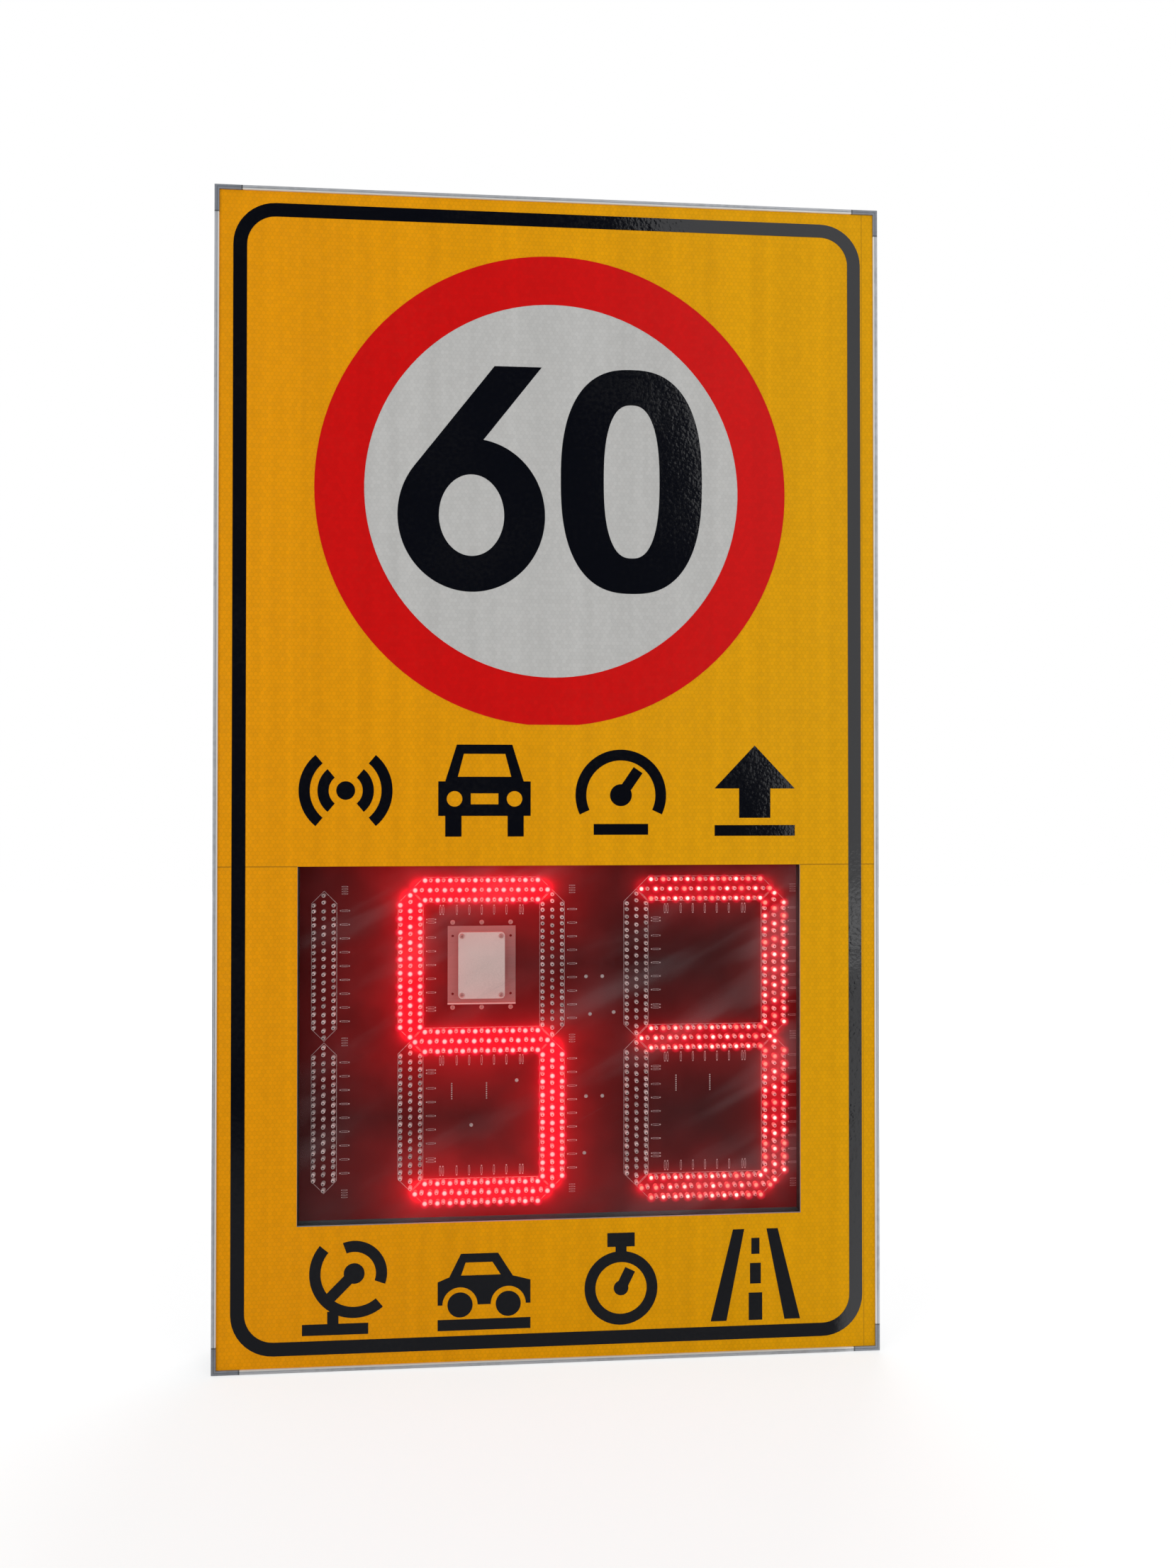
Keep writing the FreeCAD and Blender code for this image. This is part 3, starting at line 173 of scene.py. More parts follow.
class ShaderGraph(Graph):
    """A shader tree with calls for the arithmetic that the finishes share."""

    def math(self, operation: str, *values: Feed) -> Socket:
        """Adds a Math node and gives its result."""
        return self.add("ShaderNodeMath", dict(enumerate(values)), operation=operation).outputs[0]

    def times(self, first: Feed, second: Feed) -> Socket:
        """Multiplies two numbers."""
        return self.math("MULTIPLY", first, second)

    def vector(self, operation: str, *values: Feed, output: str = "Vector") -> Socket:
        """Adds a Vector Math node and gives its vector, or another output."""
        node = self.add("ShaderNodeVectorMath", dict(enumerate(values)), operation=operation)
        return node.outputs[output]

    def measure(self, operation: str, *values: Feed) -> Socket:
        """Adds a Vector Math node and gives its number."""
        return self.vector(operation, *values, output="Value")

    def split(self, vector: Feed) -> Mapping[str, Socket]:
        """Gives a vector's X, Y and Z."""
        return self.add("ShaderNodeSeparateXYZ", {0: vector}).outputs

    def blend(self, factor: Feed, first: Feed, second: Feed) -> Socket:
        """Mixes two colours by the share of the second one."""
        return self.add("ShaderNodeMix", {0: factor, 6: first, 7: second}, data_type="RGBA").outputs[2]

    def shade(self, colour: Feed, factor: Feed) -> Socket:
        """Multiplies a colour by a number, and gives a vector, which a colour socket takes."""
        inputs = {0: colour, "Scale": factor}
        return self.add("ShaderNodeVectorMath", inputs, operation="SCALE").outputs["Vector"]

    def remap(self, value: Feed, low: Feed, high: Feed, start: float = 0.0, end: float = 1.0) -> Socket:
        """Maps a range of a value smoothly to another range.

        Args:
            value: The value.
            low: Where the range starts.
            high: Where it ends.
            start: Result at the low end and below it.
            end: Result at the high end and above it.

        Returns:
            The mapped value.
        """
        inputs = {"Value": value, "From Min": low, "From Max": high, "To Min": start, "To Max": end}
        node = self.add("ShaderNodeMapRange", inputs, interpolation_type="SMOOTHSTEP")
        return node.outputs["Result"]

    def vary(self, value: Feed, span: Point, middle: float, change: float) -> Socket:
        """Maps a span of a value to a middle result, less and more a change."""
        return self.remap(value, *span, middle - change, middle + change)

    @functools.cached_property
    def place(self) -> Socket:
        """Gives the point's place on the object."""
        return self.add("ShaderNodeTexCoord").outputs["Object"]

    def noise(self, vector: Feed, scale: Feed, detail: float) -> Socket:
        """Gives a noise from 0 to 1, with lumps per metre as its scale and octaves of finer ones."""
        inputs = {"Vector": vector, "Scale": scale, "Detail": detail}
        return self.add("ShaderNodeTexNoise", inputs).outputs[0]

    def line(self, value: Feed, middle: float, width: float) -> Socket:
        """Gives a mask that is 1 within half a width of a value, with a soft edge."""
        away = self.math("ABSOLUTE", self.math("SUBTRACT", value, middle))
        return self.remap(away, width / 2, width, 1.0, 0.0)


class MaterialGraph(ShaderGraph):
    """A material's tree with its shader, and calls for what the finishes feed to it."""

    def __init__(self, tree: Tree, constants: Mapping[str, Feed]) -> None:
        """Empties the tree and adds the shader.

        Args:
            tree: The material's tree.
            constants: Values of the shader's own sockets.
        """
        super().__init__(tree)
        tree.nodes.clear()
        self.shader = self.add("ShaderNodeBsdfPrincipled", constants)
        self.add("ShaderNodeOutputMaterial", {"Surface": self.shader.outputs[0]})

    def surface(self, values: Mapping[str, Feed]) -> None:
        """Feeds the shader."""
        self.feed(self.shader.inputs, values)

    def shine(self, light: Feed, strength: float = 1.0) -> None:
        """Lets the surface give off light."""
        self.surface({"Emission Color": light, "Emission Strength": strength})

    def effect(self, tree: Tree, **inputs: Feed) -> Mapping[str, Socket]:
        """Places a shared effect, read at the point's place or a given vector, and gives its outputs."""
        return self.add("ShaderNodeGroup", {"Vector": self.place, **inputs}, node_tree=tree).outputs

    def streak(self, lumps: Triple, **vector: Socket) -> Socket:
        """Gives long streaks, from their lumps per metre in each direction."""
        return self.effect(streak_effect(), Lumps=lumps, **vector)["Streak"]

    def bump(self, height: Feed, strength: float, distance: float) -> Socket:
        """Gives a normal bent by a height."""
        inputs = {"Height": height, "Strength": strength, "Distance": distance}
        return self.add("ShaderNodeBump", inputs).outputs["Normal"]

    def attribute(self, name: str) -> Socket:
        """Reads a number that the mesh carries."""
        return self.add("ShaderNodeAttribute", attribute_name=name).outputs["Fac"]


def new_group(name: str, kind: str, inputs: Mapping[str, str], outputs: Mapping[str, str]) -> Tree:
    """Starts a node group.

    Args:
        name: The group's name.
        kind: The type of its tree.
        inputs: Kinds of its input sockets, by name.
        outputs: Kinds of its output sockets, by name.

    Returns:
        The group, without nodes.
    """
    tree = bpy.data.node_groups.new(name, kind)
    for way, sockets in (("INPUT", inputs), ("OUTPUT", outputs)):
        for label, socket in sockets.items():
            tree.interface.new_socket(name=label, in_out=way, socket_type="NodeSocket" + socket)
    return tree


def effect_tree(name: str, inputs: dict[str, str], *outputs: str) -> tuple[ShaderGraph, Mapping, Mapping]:
    """Starts a shared effect.

    Args:
        name: The effect's name.
        inputs: Kinds of its input sockets, by name.
        outputs: Names of its number outputs.

    Returns:
        The effect's graph, its input sockets and its output sockets.
    """
    graph = ShaderGraph(new_group(name, "ShaderNodeTree", inputs, dict.fromkeys(outputs, "Float")))
    return graph, graph.add("NodeGroupInput").outputs, graph.add("NodeGroupOutput").inputs


@functools.cache
def honeycomb_effect() -> Tree:
    """Makes the sheeting's six-sided cells.

    Returns:
        A group that gives a mask of the cells' walls, and a tone for each cell.
    """
    inputs = {"Vector": "Vector", "Cell": "Float", "Wall": "Float"}
    graph, entry, leave = effect_tree("honeycomb cells", inputs, "Walls", "Tone")
    half = (0.5, math.sqrt(0.75), 0.5)
    low = tuple(-h for h in half)
    parts = graph.split(entry["Vector"])
    flat = graph.add("ShaderNodeCombineXYZ", {0: parts["X"], 1: parts["Z"]}).outputs[0]
    size = graph.add("ShaderNodeCombineXYZ", dict.fromkeys(range(3), entry["Cell"])).outputs[0]
    cells = graph.vector("DIVIDE", flat, size)
    first = graph.vector("WRAP", cells, half, low)
    second = graph.vector("WRAP", graph.vector("SUBTRACT", cells, (half[0], half[1], 0.0)), half, low)
    nearer = graph.math("LESS_THAN", graph.measure("LENGTH", first), graph.measure("LENGTH", second))
    local = graph.add("ShaderNodeMix", {0: nearer, 4: second, 5: first}, data_type="VECTOR").outputs[1]
    spread = graph.vector("ABSOLUTE", local)
    slant = graph.measure("DOT_PRODUCT", spread, (0.5, half[1], 0.0))
    edge = graph.math("MAXIMUM", slant, graph.split(spread)["X"])
    walls = graph.remap(edge, graph.math("SUBTRACT", 0.5, entry["Wall"]), 0.5)
    middle = graph.vector("SNAP", graph.vector("SUBTRACT", cells, local), (0.01, 0.01, 0.01))
    tone = graph.add("ShaderNodeTexWhiteNoise", {"Vector": middle}, noise_dimensions="3D")
    graph.feed(leave, {"Walls": walls, "Tone": tone.outputs["Value"]})
    return graph.tree


@functools.cache
def streak_effect() -> Tree:
    """Makes long streaks.

    Returns:
        A group that gives a noise drawn out along one direction.
    """
    graph, entry, leave = effect_tree("long streaks", {"Vector": "Vector", "Lumps": "Vector"}, "Streak")
    drawn = graph.vector("MULTIPLY", entry["Vector"], entry["Lumps"])
    graph.feed(leave, {"Streak": graph.noise(drawn, scale=1.0, detail=3.0)})
    return graph.tree


@functools.cache
def weather_effect() -> Tree:
    """Makes weathering.

    Returns:
        A group that gives broad stains broken up by fine specks.
    """
    inputs = {"Vector": "Vector", "Broad": "Float", "Fine": "Float"}
    graph, entry, leave = effect_tree("weathering", inputs, "Stain")
    broad = graph.noise(entry["Vector"], entry["Broad"], detail=4.0)
    fine = graph.noise(entry["Vector"], entry["Fine"], detail=2.0)
    graph.feed(leave, {"Stain": graph.remap(graph.times(broad, fine), low=0.18, high=0.42)})
    return graph.tree


@functools.cache
def peel_effect() -> Tree:
    """Makes the slight orange peel of a smooth skin.

    Returns:
        A group that gives the peel's height.
    """
    wave_scale, wave_height = 0.12, 2.5
    graph, entry, leave = effect_tree("orange peel", {"Vector": "Vector", "Lumps": "Float"}, "Height")
    coarse = graph.noise(entry["Vector"], entry["Lumps"], detail=1.0)
    wavy = graph.noise(entry["Vector"], graph.times(entry["Lumps"], wave_scale), detail=1.0)
    graph.feed(leave, {"Height": graph.math("ADD", coarse, graph.times(wavy, wave_height))})
    return graph.tree


@functools.cache
def glow_effect(bars: tuple[tuple[Point, Point, float], ...], half_width: float) -> Tree:
    """Makes the light that the lit bars shed on what lies around them.

    Args:
        bars: Start and end of each lit bar, as x and z, and its brightness.
        half_width: Half the width of a bar.

    Returns:
        A group whose Glow falls from 1 at a lit bar to 0 over its Reach.
    """
    graph, entry, leave = effect_tree("lit bars", {"Vector": "Vector", "Reach": "Float"}, "Glow")
    flat = graph.vector("MULTIPLY", entry["Vector"], (1.0, 0.0, 1.0))
    glow: Feed = 0.0
    for start, end, power in bars:
        first, last = (Vector((x, 0.0, z)) for x, z in (start, end))
        first += (last - first).normalized() * half_width
        last += (first - last).normalized() * half_width
        run = last - first
        ahead = graph.vector("SUBTRACT", flat, tuple(first))
        share = graph.measure("DOT_PRODUCT", ahead, tuple(run / run.length_squared))
        share = graph.math("MINIMUM", graph.math("MAXIMUM", share, 0.0), 1.0)
        away = graph.measure("DISTANCE", ahead, graph.shade(tuple(run), share))
        outside = graph.math("MAXIMUM", graph.math("SUBTRACT", away, half_width), 0.0)
        reaches = graph.math("DIVIDE", outside, entry["Reach"])
        fall = graph.math("EXPONENT", graph.times(reaches, -1.0))
        glow = graph.math("MAXIMUM", glow, graph.times(fall, power))
    graph.feed(leave, {"Glow": glow})
    return graph.tree


@dataclass(frozen=True)
class Finish:
    """A procedural finish: the constants of its shader, its stains, and the light of lit bars on it."""

    name: str
    colour: Colour
    roughness: float = 0.5
    metallic: float = 0.0
    specular: float = 0.5
    coat: float = 0.0
    coat_roughness: float = 0.1
    stain: float = 0.0
    stain_colour: Colour | None = None
    stain_lumps: Point = (9.0, 130.0)
    glow: Tree | None = None
    glow_reach: float = 12 * MM
    glow_colour: Colour = (0.5, 0.02, 0.02)

    @functools.cache
    def material(self) -> bpy.types.Material:
        """Gives the finish's material, made on first use.

        Returns:
            The material.
        """
        material = bpy.data.materials.new(self.name + "_finish")
        material.use_nodes = True
        self.dress(MaterialGraph(material.node_tree, {
            "Base Color": opaque(self.colour), "Roughness": self.roughness, "Metallic": self.metallic,
            "Specular IOR Level": self.specular, "Coat Weight": self.coat,
            "Coat Roughness": self.coat_roughness}))
        return material

    def dress(self, graph: MaterialGraph) -> None:
        """Feeds what varies over the surface to the shader."""
        raise NotImplementedError

    def soil(self, graph: MaterialGraph) -> Socket:
        """Gives a mask of the stains."""
        broad, fine = self.stain_lumps
        return graph.effect(weather_effect(), Broad=broad, Fine=fine)["Stain"]

    def stained(self, graph: MaterialGraph, mask: Socket, colour: Feed) -> Socket:
        """Lays stains over a colour: of their own colour, or a darker shade of the finish."""
        dirt = self.stain_colour or darker(self.colour, STAIN_SHADE)
        return graph.blend(graph.times(mask, self.stain), colour, opaque(dirt))

    def lit(self, graph: MaterialGraph, reach: float) -> Socket:
        """Gives the light that lit bars shed over a reach."""
        return graph.effect(self.glow, Reach=reach)["Glow"]

    def redden(self, graph: MaterialGraph) -> None:
        """Adds the light of lit bars, where the finish has any."""
        if self.glow:
            graph.shine(graph.shade(self.glow_colour, self.lit(graph, self.glow_reach)))


@dataclass(frozen=True)
class Sheeting(Finish):
    """Reflective sheeting: fine six-sided cells under a clear film, with faint upright bands of painted
    sheen.
    """

    stain: float = 0.015
    stain_colour: Colour | None = (0.2, 0.17, 0.12)
    stain_lumps: Point = (5.0, 160.0)
    far_colour: Colour | None = None
    half_width: float = 400 * MM
    cell: float = 5.2 * MM
    cell_change: float = 0.03
    wall: float = 0.16
    wall_shade: float = 0.90
    wall_roughness: float = 0.12
    sheen_band: float = 0.05
    sheen_band_lumps: Triple = (56.0, 1.0, 0.7)
    sheen_band_span: Point = (0.25, 0.75)
    seam_z: float | None = None
    seam_clear: float = 0.0
    seam_x: float | None = None
    seam_width: float = 0.9 * MM
    seam_shares: Point = (0.5, 0.3)
    seam_colour: Colour = (0.16, 0.08, 0.01)

    def dress(self, graph: MaterialGraph) -> None:
        """Lays cells, bands of painted sheen and film seams over the colour.

        Args:
            graph: The material's tree.
        """
        cells = graph.effect(honeycomb_effect(), Cell=self.cell, Wall=self.wall)
        # Upright bands of painted sheen, lighter and darker in turn.
        level = graph.vary(graph.streak(self.sheen_band_lumps), self.sheen_band_span, 1.0, self.sheen_band)
        tone = graph.vary(cells["Tone"], (0.0, 1.0), 1.0, self.cell_change)
        lined = graph.blend(cells["Walls"], opaque(WHITE), opaque(darker(WHITE, self.wall_shade)))
        base: Feed = self.colour
        if self.far_colour:
            shift = graph.remap(graph.split(graph.place)["X"], -self.half_width, self.half_width)
            base = graph.blend(shift, opaque(self.colour), opaque(self.far_colour))
        colour = graph.vector("MULTIPLY", graph.shade(base, graph.times(level, tone)), lined)
        colour = self.stained(graph, self.soil(graph), colour)
        if self.seam_z is not None:
            colour = self.seams(graph, colour)
        rough = graph.remap(cells["Walls"], 0.0, 1.0, self.roughness, self.roughness + self.wall_roughness)
        graph.surface({"Base Color": colour, "Roughness": rough})

    def seams(self, graph: MaterialGraph, colour: Socket) -> Socket:
        """Darkens the level film seam beside the window, and the upright film edge.

        Args:
            graph: The material's tree.
            colour: The colour so far.

        Returns:
            The colour with its seams.
        """
        parts = graph.split(graph.place)
        beside = graph.math("GREATER_THAN", graph.math("ABSOLUTE", parts["X"]), self.seam_clear)
        level = graph.times(graph.line(parts["Z"], self.seam_z, self.seam_width), beside)
        upright = graph.line(parts["X"], self.seam_x, self.seam_width)
        seams = [graph.times(seam, share) for seam, share in zip((level, upright), self.seam_shares)]
        return graph.blend(graph.math("MAXIMUM", *seams), colour, opaque(self.seam_colour))


@dataclass(frozen=True)
class Skin(Finish):
    """A smooth skin: faint stains, which may dull it, and a slight orange peel."""

    lumps: float = 240.0
    peel: float = 0.35
    peel_depth: float = 0.3 * MM
    dulled: float = 0.0

    def dress(self, graph: MaterialGraph) -> None:
        """Adds the stains, the peel, a change of gloss and the light of lit bars.

        Args:
            graph: The material's tree.
        """
        mask = self.soil(graph)
        height = graph.effect(peel_effect(), Lumps=self.lumps)["Height"]
        graph.surface({"Base Color": self.stained(graph, mask, opaque(self.colour)),
                       "Normal": graph.bump(height, self.peel, self.peel_depth)})
        if self.dulled:
            rough = graph.remap(mask, 0.0, 1.0, self.roughness, self.roughness + self.dulled)
            graph.surface({"Roughness": rough})
        self.redden(graph)


@dataclass(frozen=True)
class GlossVinyl(Skin):
    """Glossy black film with faint dust."""

    stain: float = 0.006
    stain_colour: Colour | None = (0.5, 0.48, 0.42)
    stain_lumps: Point = (7.0, 240.0)
    dulled: float = 0.05


@dataclass(frozen=True)
class Rubber(Skin):
    """Matt rubber or sleeve with a dusty bloom."""

    stain: float = 0.12
    stain_colour: Colour | None = (0.30, 0.29, 0.27)
    stain_lumps: Point = (16.0, 260.0)
    lumps: float = 900.0
    peel: float = 0.2
    peel_depth: float = 0.1 * MM


@dataclass(frozen=True)
class Moulded(Skin):
    """Moulded plastic with a fine grain and a mottled colour."""

    stain: float = 0.4
    stain_lumps: Point = (18.0, 700.0)
    lumps: float = 700.0
    peel: float = 0.08
    peel_depth: float = 0.15 * MM


@dataclass(frozen=True)
class GrainedMetal(Finish):
    """Metal with a grain along one axis and light stains, and some with a painted highlight along their
    edges, or dark joints.
    """

    stain: float = 0.25
    stain_colour: Colour | None = (0.20, 0.20, 0.19)
    stain_roughness: float = 0.5
    grain: Axis = Axis.ACROSS
    grain_lumps: Point = (14.0, 900.0)
    grain_span: Point = (0.2, 0.8)
    grain_shade: float = 0.07
    grain_roughness: float = 0.06
    grain_bump: float = 0.12
    grain_depth: float = 0.08 * MM
    # Painted highlight: the edges inside or in front of which it falls, its colour and its share.
    lit_inner_edge: Point | None = None
    lit_front_edge: float | None = None
    highlight_colour: Colour = (0.86, 0.85, 0.80)
    highlight_share: float = 0.85
    joint: Point | None = None
    joint_width: float = 1.1 * MM
    joint_colour: Colour = (0.03, 0.03, 0.03)
    joint_share: float = 0.75

    def dress(self, graph: MaterialGraph) -> None:
        """Draws the grain, stains, painted edge highlights and joints, and adds the light of lit bars.

        Args:
            graph: The material's tree.
        """
        along, across = self.grain_lumps
        grain = graph.streak(tuple(along if part else across for part in self.grain.value))
        mask = self.soil(graph)
        colour = graph.shade(self.colour, graph.vary(grain, self.grain_span, 1.0, self.grain_shade))
        colour = self.highlights_and_joints(graph, self.stained(graph, mask, colour))
        rough = graph.vary(grain, self.grain_span, self.roughness, self.grain_roughness)
        dull = graph.times(mask, self.stain * self.stain_roughness)
        graph.surface({"Base Color": colour, "Roughness": graph.math("ADD", rough, dull),
                       "Normal": graph.bump(grain, self.grain_bump, self.grain_depth)})
        self.redden(graph)

    def highlights_and_joints(self, graph: MaterialGraph, colour: Socket) -> Socket:
        """Paints highlights on the edges and darkens the joints.

        Args:
            graph: The material's tree.
            colour: The colour so far.

        Returns:
            The colour with its painted edge highlights and joints.
        """
        parts = graph.split(graph.place)
        aside = [graph.math("ABSOLUTE", parts[name]) for name in "XZ"]
        # Mask of the painted highlight, inside the lip's inner edge or in front of a front edge.
        edge: Feed = 0.0
        if self.lit_inner_edge:
            edge = graph.times(*(graph.math("LESS_THAN", *pair) for pair in zip(aside, self.lit_inner_edge)))
        if self.lit_front_edge is not None:
            edge = graph.math("LESS_THAN", parts["Y"], self.lit_front_edge)
        colour = graph.blend(graph.times(edge, self.highlight_share), colour, opaque(self.highlight_colour))
        if self.joint:
            seams = [graph.line(*pair, self.joint_width) for pair in zip(aside, self.joint)]
            dark = graph.times(graph.math("MAXIMUM", *seams), self.joint_share)
            colour = graph.blend(dark, colour, opaque(self.joint_colour))
        return colour


@dataclass(frozen=True)
class GalvanisedSheet(Finish):
    """Zinc coated sheet with a spangle of flat crystals, dulled in patches."""

    stain: float = 0.3
    stain_colour: Colour | None = (0.62, 0.63, 0.64)
    stain_lumps: Point = (6.0, 150.0)
    crystal: float = 9.0 * MM
    crystal_mix: Triple = (0.4, 0.3, 0.3)
    crystal_span: Point = (0.2, 0.8)
    crystal_tones: Point = (0.80, 1.15)
    crystal_roughness: float = 0.12

    def dress(self, graph: MaterialGraph) -> None:
        """Tints each crystal, and dulls the sheet in patches.

        Args:
            graph: The material's tree.
        """
        crystals = graph.add("ShaderNodeTexVoronoi", {"Vector": graph.place, "Scale": 1.0 / self.crystal})
        tone = graph.measure("DOT_PRODUCT", crystals.outputs["Color"], self.crystal_mix)
        colour = graph.shade(self.colour, graph.remap(tone, *self.crystal_span, *self.crystal_tones))
        graph.surface({
            "Base Color": self.stained(graph, self.soil(graph), colour),
            "Roughness": graph.vary(tone, self.crystal_span, self.roughness, self.crystal_roughness)})


@dataclass(frozen=True)
class Laminate(Finish):
    """Solder mask on a board: faint tracks under the colour, lit red where lit bars are near."""

    track: float = 0.25
    track_shade: float = 0.55
    track_lumps: Point = (45.0, 420.0)
    track_span: Point = (0.60, 0.68)
    track_roughness: float = 0.1
    cloud: float = 0.2
    cloud_lumps: float = 14.0
    cloud_span: Point = (0.3, 0.7)
    near: Colour = (0.95, 0.006, 0.018)
    near_reach: float = 3.5 * MM
    far: Colour = (0.36, 0.002, 0.003)
    far_reach: float = 52 * MM

    def dress(self, graph: MaterialGraph) -> None:
        """Draws the tracks and adds the red light.

        Args:
            graph: The material's tree.
        """
        long, short = self.track_lumps
        runs = [graph.streak(lumps) for lumps in ((long, 1.0, short), (short, 1.0, long))]
        track = graph.remap(graph.math("MAXIMUM", *runs), *self.track_span)
        lumps = graph.noise(graph.place, self.cloud_lumps, detail=3.0)
        cloud = graph.vary(lumps, self.cloud_span, 1.0, self.cloud)
        copper = opaque(darker(self.colour, self.track_shade))
        colour = graph.blend(graph.times(track, self.track), graph.shade(self.colour, cloud), copper)
        rough = graph.remap(track, 0.0, 1.0, self.roughness, self.roughness + self.track_roughness)
        graph.surface({"Base Color": colour, "Roughness": rough})
        if self.glow:
            near = graph.shade(self.near, self.lit(graph, self.near_reach))
            far = graph.shade(self.far, self.lit(graph, self.far_reach))
            graph.shine(graph.shade(graph.vector("ADD", near, far), cloud))


@dataclass(frozen=True)
class ClearPane(Finish):
    """Clear sheet that mirrors by its angle and catches the lit bars, with faint smears and scratches."""

    glow_colour: Colour = (1.0, 0.012, 0.035)
    caught: float = 0.06
    mirror: float = 0.3
    ior: float = 1.49
    slant: float = math.radians(28)
    smear: float = 0.05
    smear_lumps: Triple = (3.0, 1.0, 16.0)
    smear_span: Point = (0.42, 0.72)
    smear_roughness: float = 0.5
    dull_span: Point = (0.40, 0.70)
    scratch: float = 0.08
    scratch_lumps: Triple = (3.5, 1.0, 700.0)
    scratch_span: Point = (0.70, 0.76)

    def dress(self, graph: MaterialGraph) -> None:
        """Sets the see-through share from the mirror share, the smears and the scratches.

        Args:
            graph: The material's tree.
        """
        inputs = {"Vector": graph.place, "Rotation": (0.0, self.slant, 0.0)}
        turned = graph.add("ShaderNodeMapping", inputs)
        broad = graph.streak(self.smear_lumps, Vector=turned.outputs[0])
        hair = graph.streak(self.scratch_lumps, Vector=turned.outputs[0])
        smear = graph.times(graph.remap(broad, *self.smear_span), self.smear)
        scratch = graph.times(graph.remap(hair, *self.scratch_span), self.scratch)
        mirror = graph.times(graph.add("ShaderNodeFresnel", {"IOR": self.ior}).outputs[0], self.mirror)
        caught = graph.times(self.lit(graph, self.glow_reach), self.caught)
        alpha = graph.math("ADD", graph.math("ADD", mirror, caught), graph.math("ADD", smear, scratch))
        share = graph.math("DIVIDE", caught, alpha)
        graph.shine(graph.shade(self.glow_colour, share))
        graph.surface({
            "Alpha": alpha, "Base Color": graph.shade(self.colour, graph.math("SUBTRACT", 1.0, share)),
            "Roughness": graph.remap(broad, *self.dull_span, self.roughness, self.smear_roughness)})


@dataclass(frozen=True)
class LampGlass(Finish):
    """A clear lamp that is off: pale rim, darker middle, red where lit bars are near."""

    glow_reach: float = 7 * MM
    glow_colour: Colour = (0.95, 0.09, 0.10)
    glow_span: Point = (0.2, 0.9)
    glow_shares: Point = (0.85, 1.0)
    middle: Colour = (0.06, 0.035, 0.035)
    rim_span: Point = (0.30, 0.55)
    tones: Point = (0.75, 1.2)

    def dress(self, graph: MaterialGraph) -> None:
        """Shades each lamp by its own radius and tone, and adds the red light.

        Args:
            graph: The material's tree.
        """
        radius = graph.attribute(Lathe.RADIUS)
        tone = graph.remap(graph.attribute(Repeater.TONE), 0.0, 1.0, *self.tones)
        rim = graph.remap(radius, *self.rim_span)
        colour = graph.shade(graph.blend(rim, opaque(self.middle), opaque(self.colour)), tone)
        graph.surface({"Base Color": colour})
        caught = graph.remap(radius, *self.glow_span, *self.glow_shares)
        light = graph.times(self.lit(graph, self.glow_reach), caught)
        graph.shine(graph.shade(self.glow_colour, light))


@dataclass(frozen=True)
class LampLight(Finish):
    """A lit lamp: white-hot middle, or amber on some, and red at its rim."""

    hot: Colour = (6.0, 3.4, 3.0)
    amber: Colour = (4.0, 0.9, 0.35)
    amber_share: float = 0.0
    rim: Colour = (3.0, 0.25, 0.22)
    rim_span: Point = (0.70, 1.0)
    tones: Point = (0.55, 1.25)
    strength: float = 1.0

    def dress(self, graph: MaterialGraph) -> None:
        """Colours the light from the middle to the rim.

        Args:
            graph: The material's tree.
        """
        tone = graph.attribute(Repeater.TONE)
        picked = graph.math("LESS_THAN", tone, self.amber_share)
        middle = graph.blend(picked, opaque(self.hot), opaque(self.amber))
        edge = graph.remap(graph.attribute(Lathe.RADIUS), *self.rim_span)
        light = graph.blend(edge, middle, opaque(self.rim))
        graph.shine(graph.shade(light, graph.remap(tone, 0.0, 1.0, *self.tones)), self.strength)


@dataclass(frozen=True)
class LampHaze(Finish):
    """Light scattered round a lit lamp: red, and thinner towards its rim."""

    light: Colour = (1.0, 0.015, 0.04)
    core: Colour = (1.5, 0.55, 0.55)
    core_span: Point = (0.50, 0.78)
    plateau: float = 0.66
    density: float = 0.42

    def dress(self, graph: MaterialGraph) -> None:
        """Thins the haze from the middle to the rim.

        Args:
            graph: The material's tree.
        """
        near = graph.math("SUBTRACT", 1.0, graph.attribute(Lathe.RADIUS))
        graph.surface({"Alpha": graph.remap(near, 0.0, self.plateau, 0.0, self.density)})
        core = graph.remap(near, *self.core_span)
        graph.shine(graph.blend(core, opaque(self.light), opaque(self.core)))


@dataclass(frozen=True)
class PrintInk(Finish):
    """Pale print on the board, worn in places, tinted by the lit bars."""

    worn_lumps: float = 320.0
    worn_span: Point = (0.25, 0.7)
    worn_tones: Point = (0.55, 1.1)

    def dress(self, graph: MaterialGraph) -> None:
        """Wears the ink, and adds the red light.

        Args:
            graph: The material's tree.
        """
        worn = graph.noise(graph.place, self.worn_lumps, detail=2.0)
        tone = graph.remap(worn, *self.worn_span, *self.worn_tones)
        graph.surface({"Base Color": graph.shade(self.colour, tone)})
        self.redden(graph)


def link(name: str, data: bpy.types.ID) -> Object:
    """Puts a mesh, lamp or camera in the scene as an object at the origin.

    Args:
        name: The object's name.
        data: What it shows.

    Returns:
        The object.
    """
    made = bpy.data.objects.new(name, data)
    bpy.context.scene.collection.objects.link(made)
    return made


def keep(piece: Object, slot: str, *nodes: str) -> None:
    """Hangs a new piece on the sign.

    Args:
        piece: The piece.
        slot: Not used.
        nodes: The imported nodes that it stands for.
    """
    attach(piece, BODY)
    if nodes:
        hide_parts(*nodes)
    LOG.info("piece %s: %d faces", piece.name, len(piece.data.polygons))


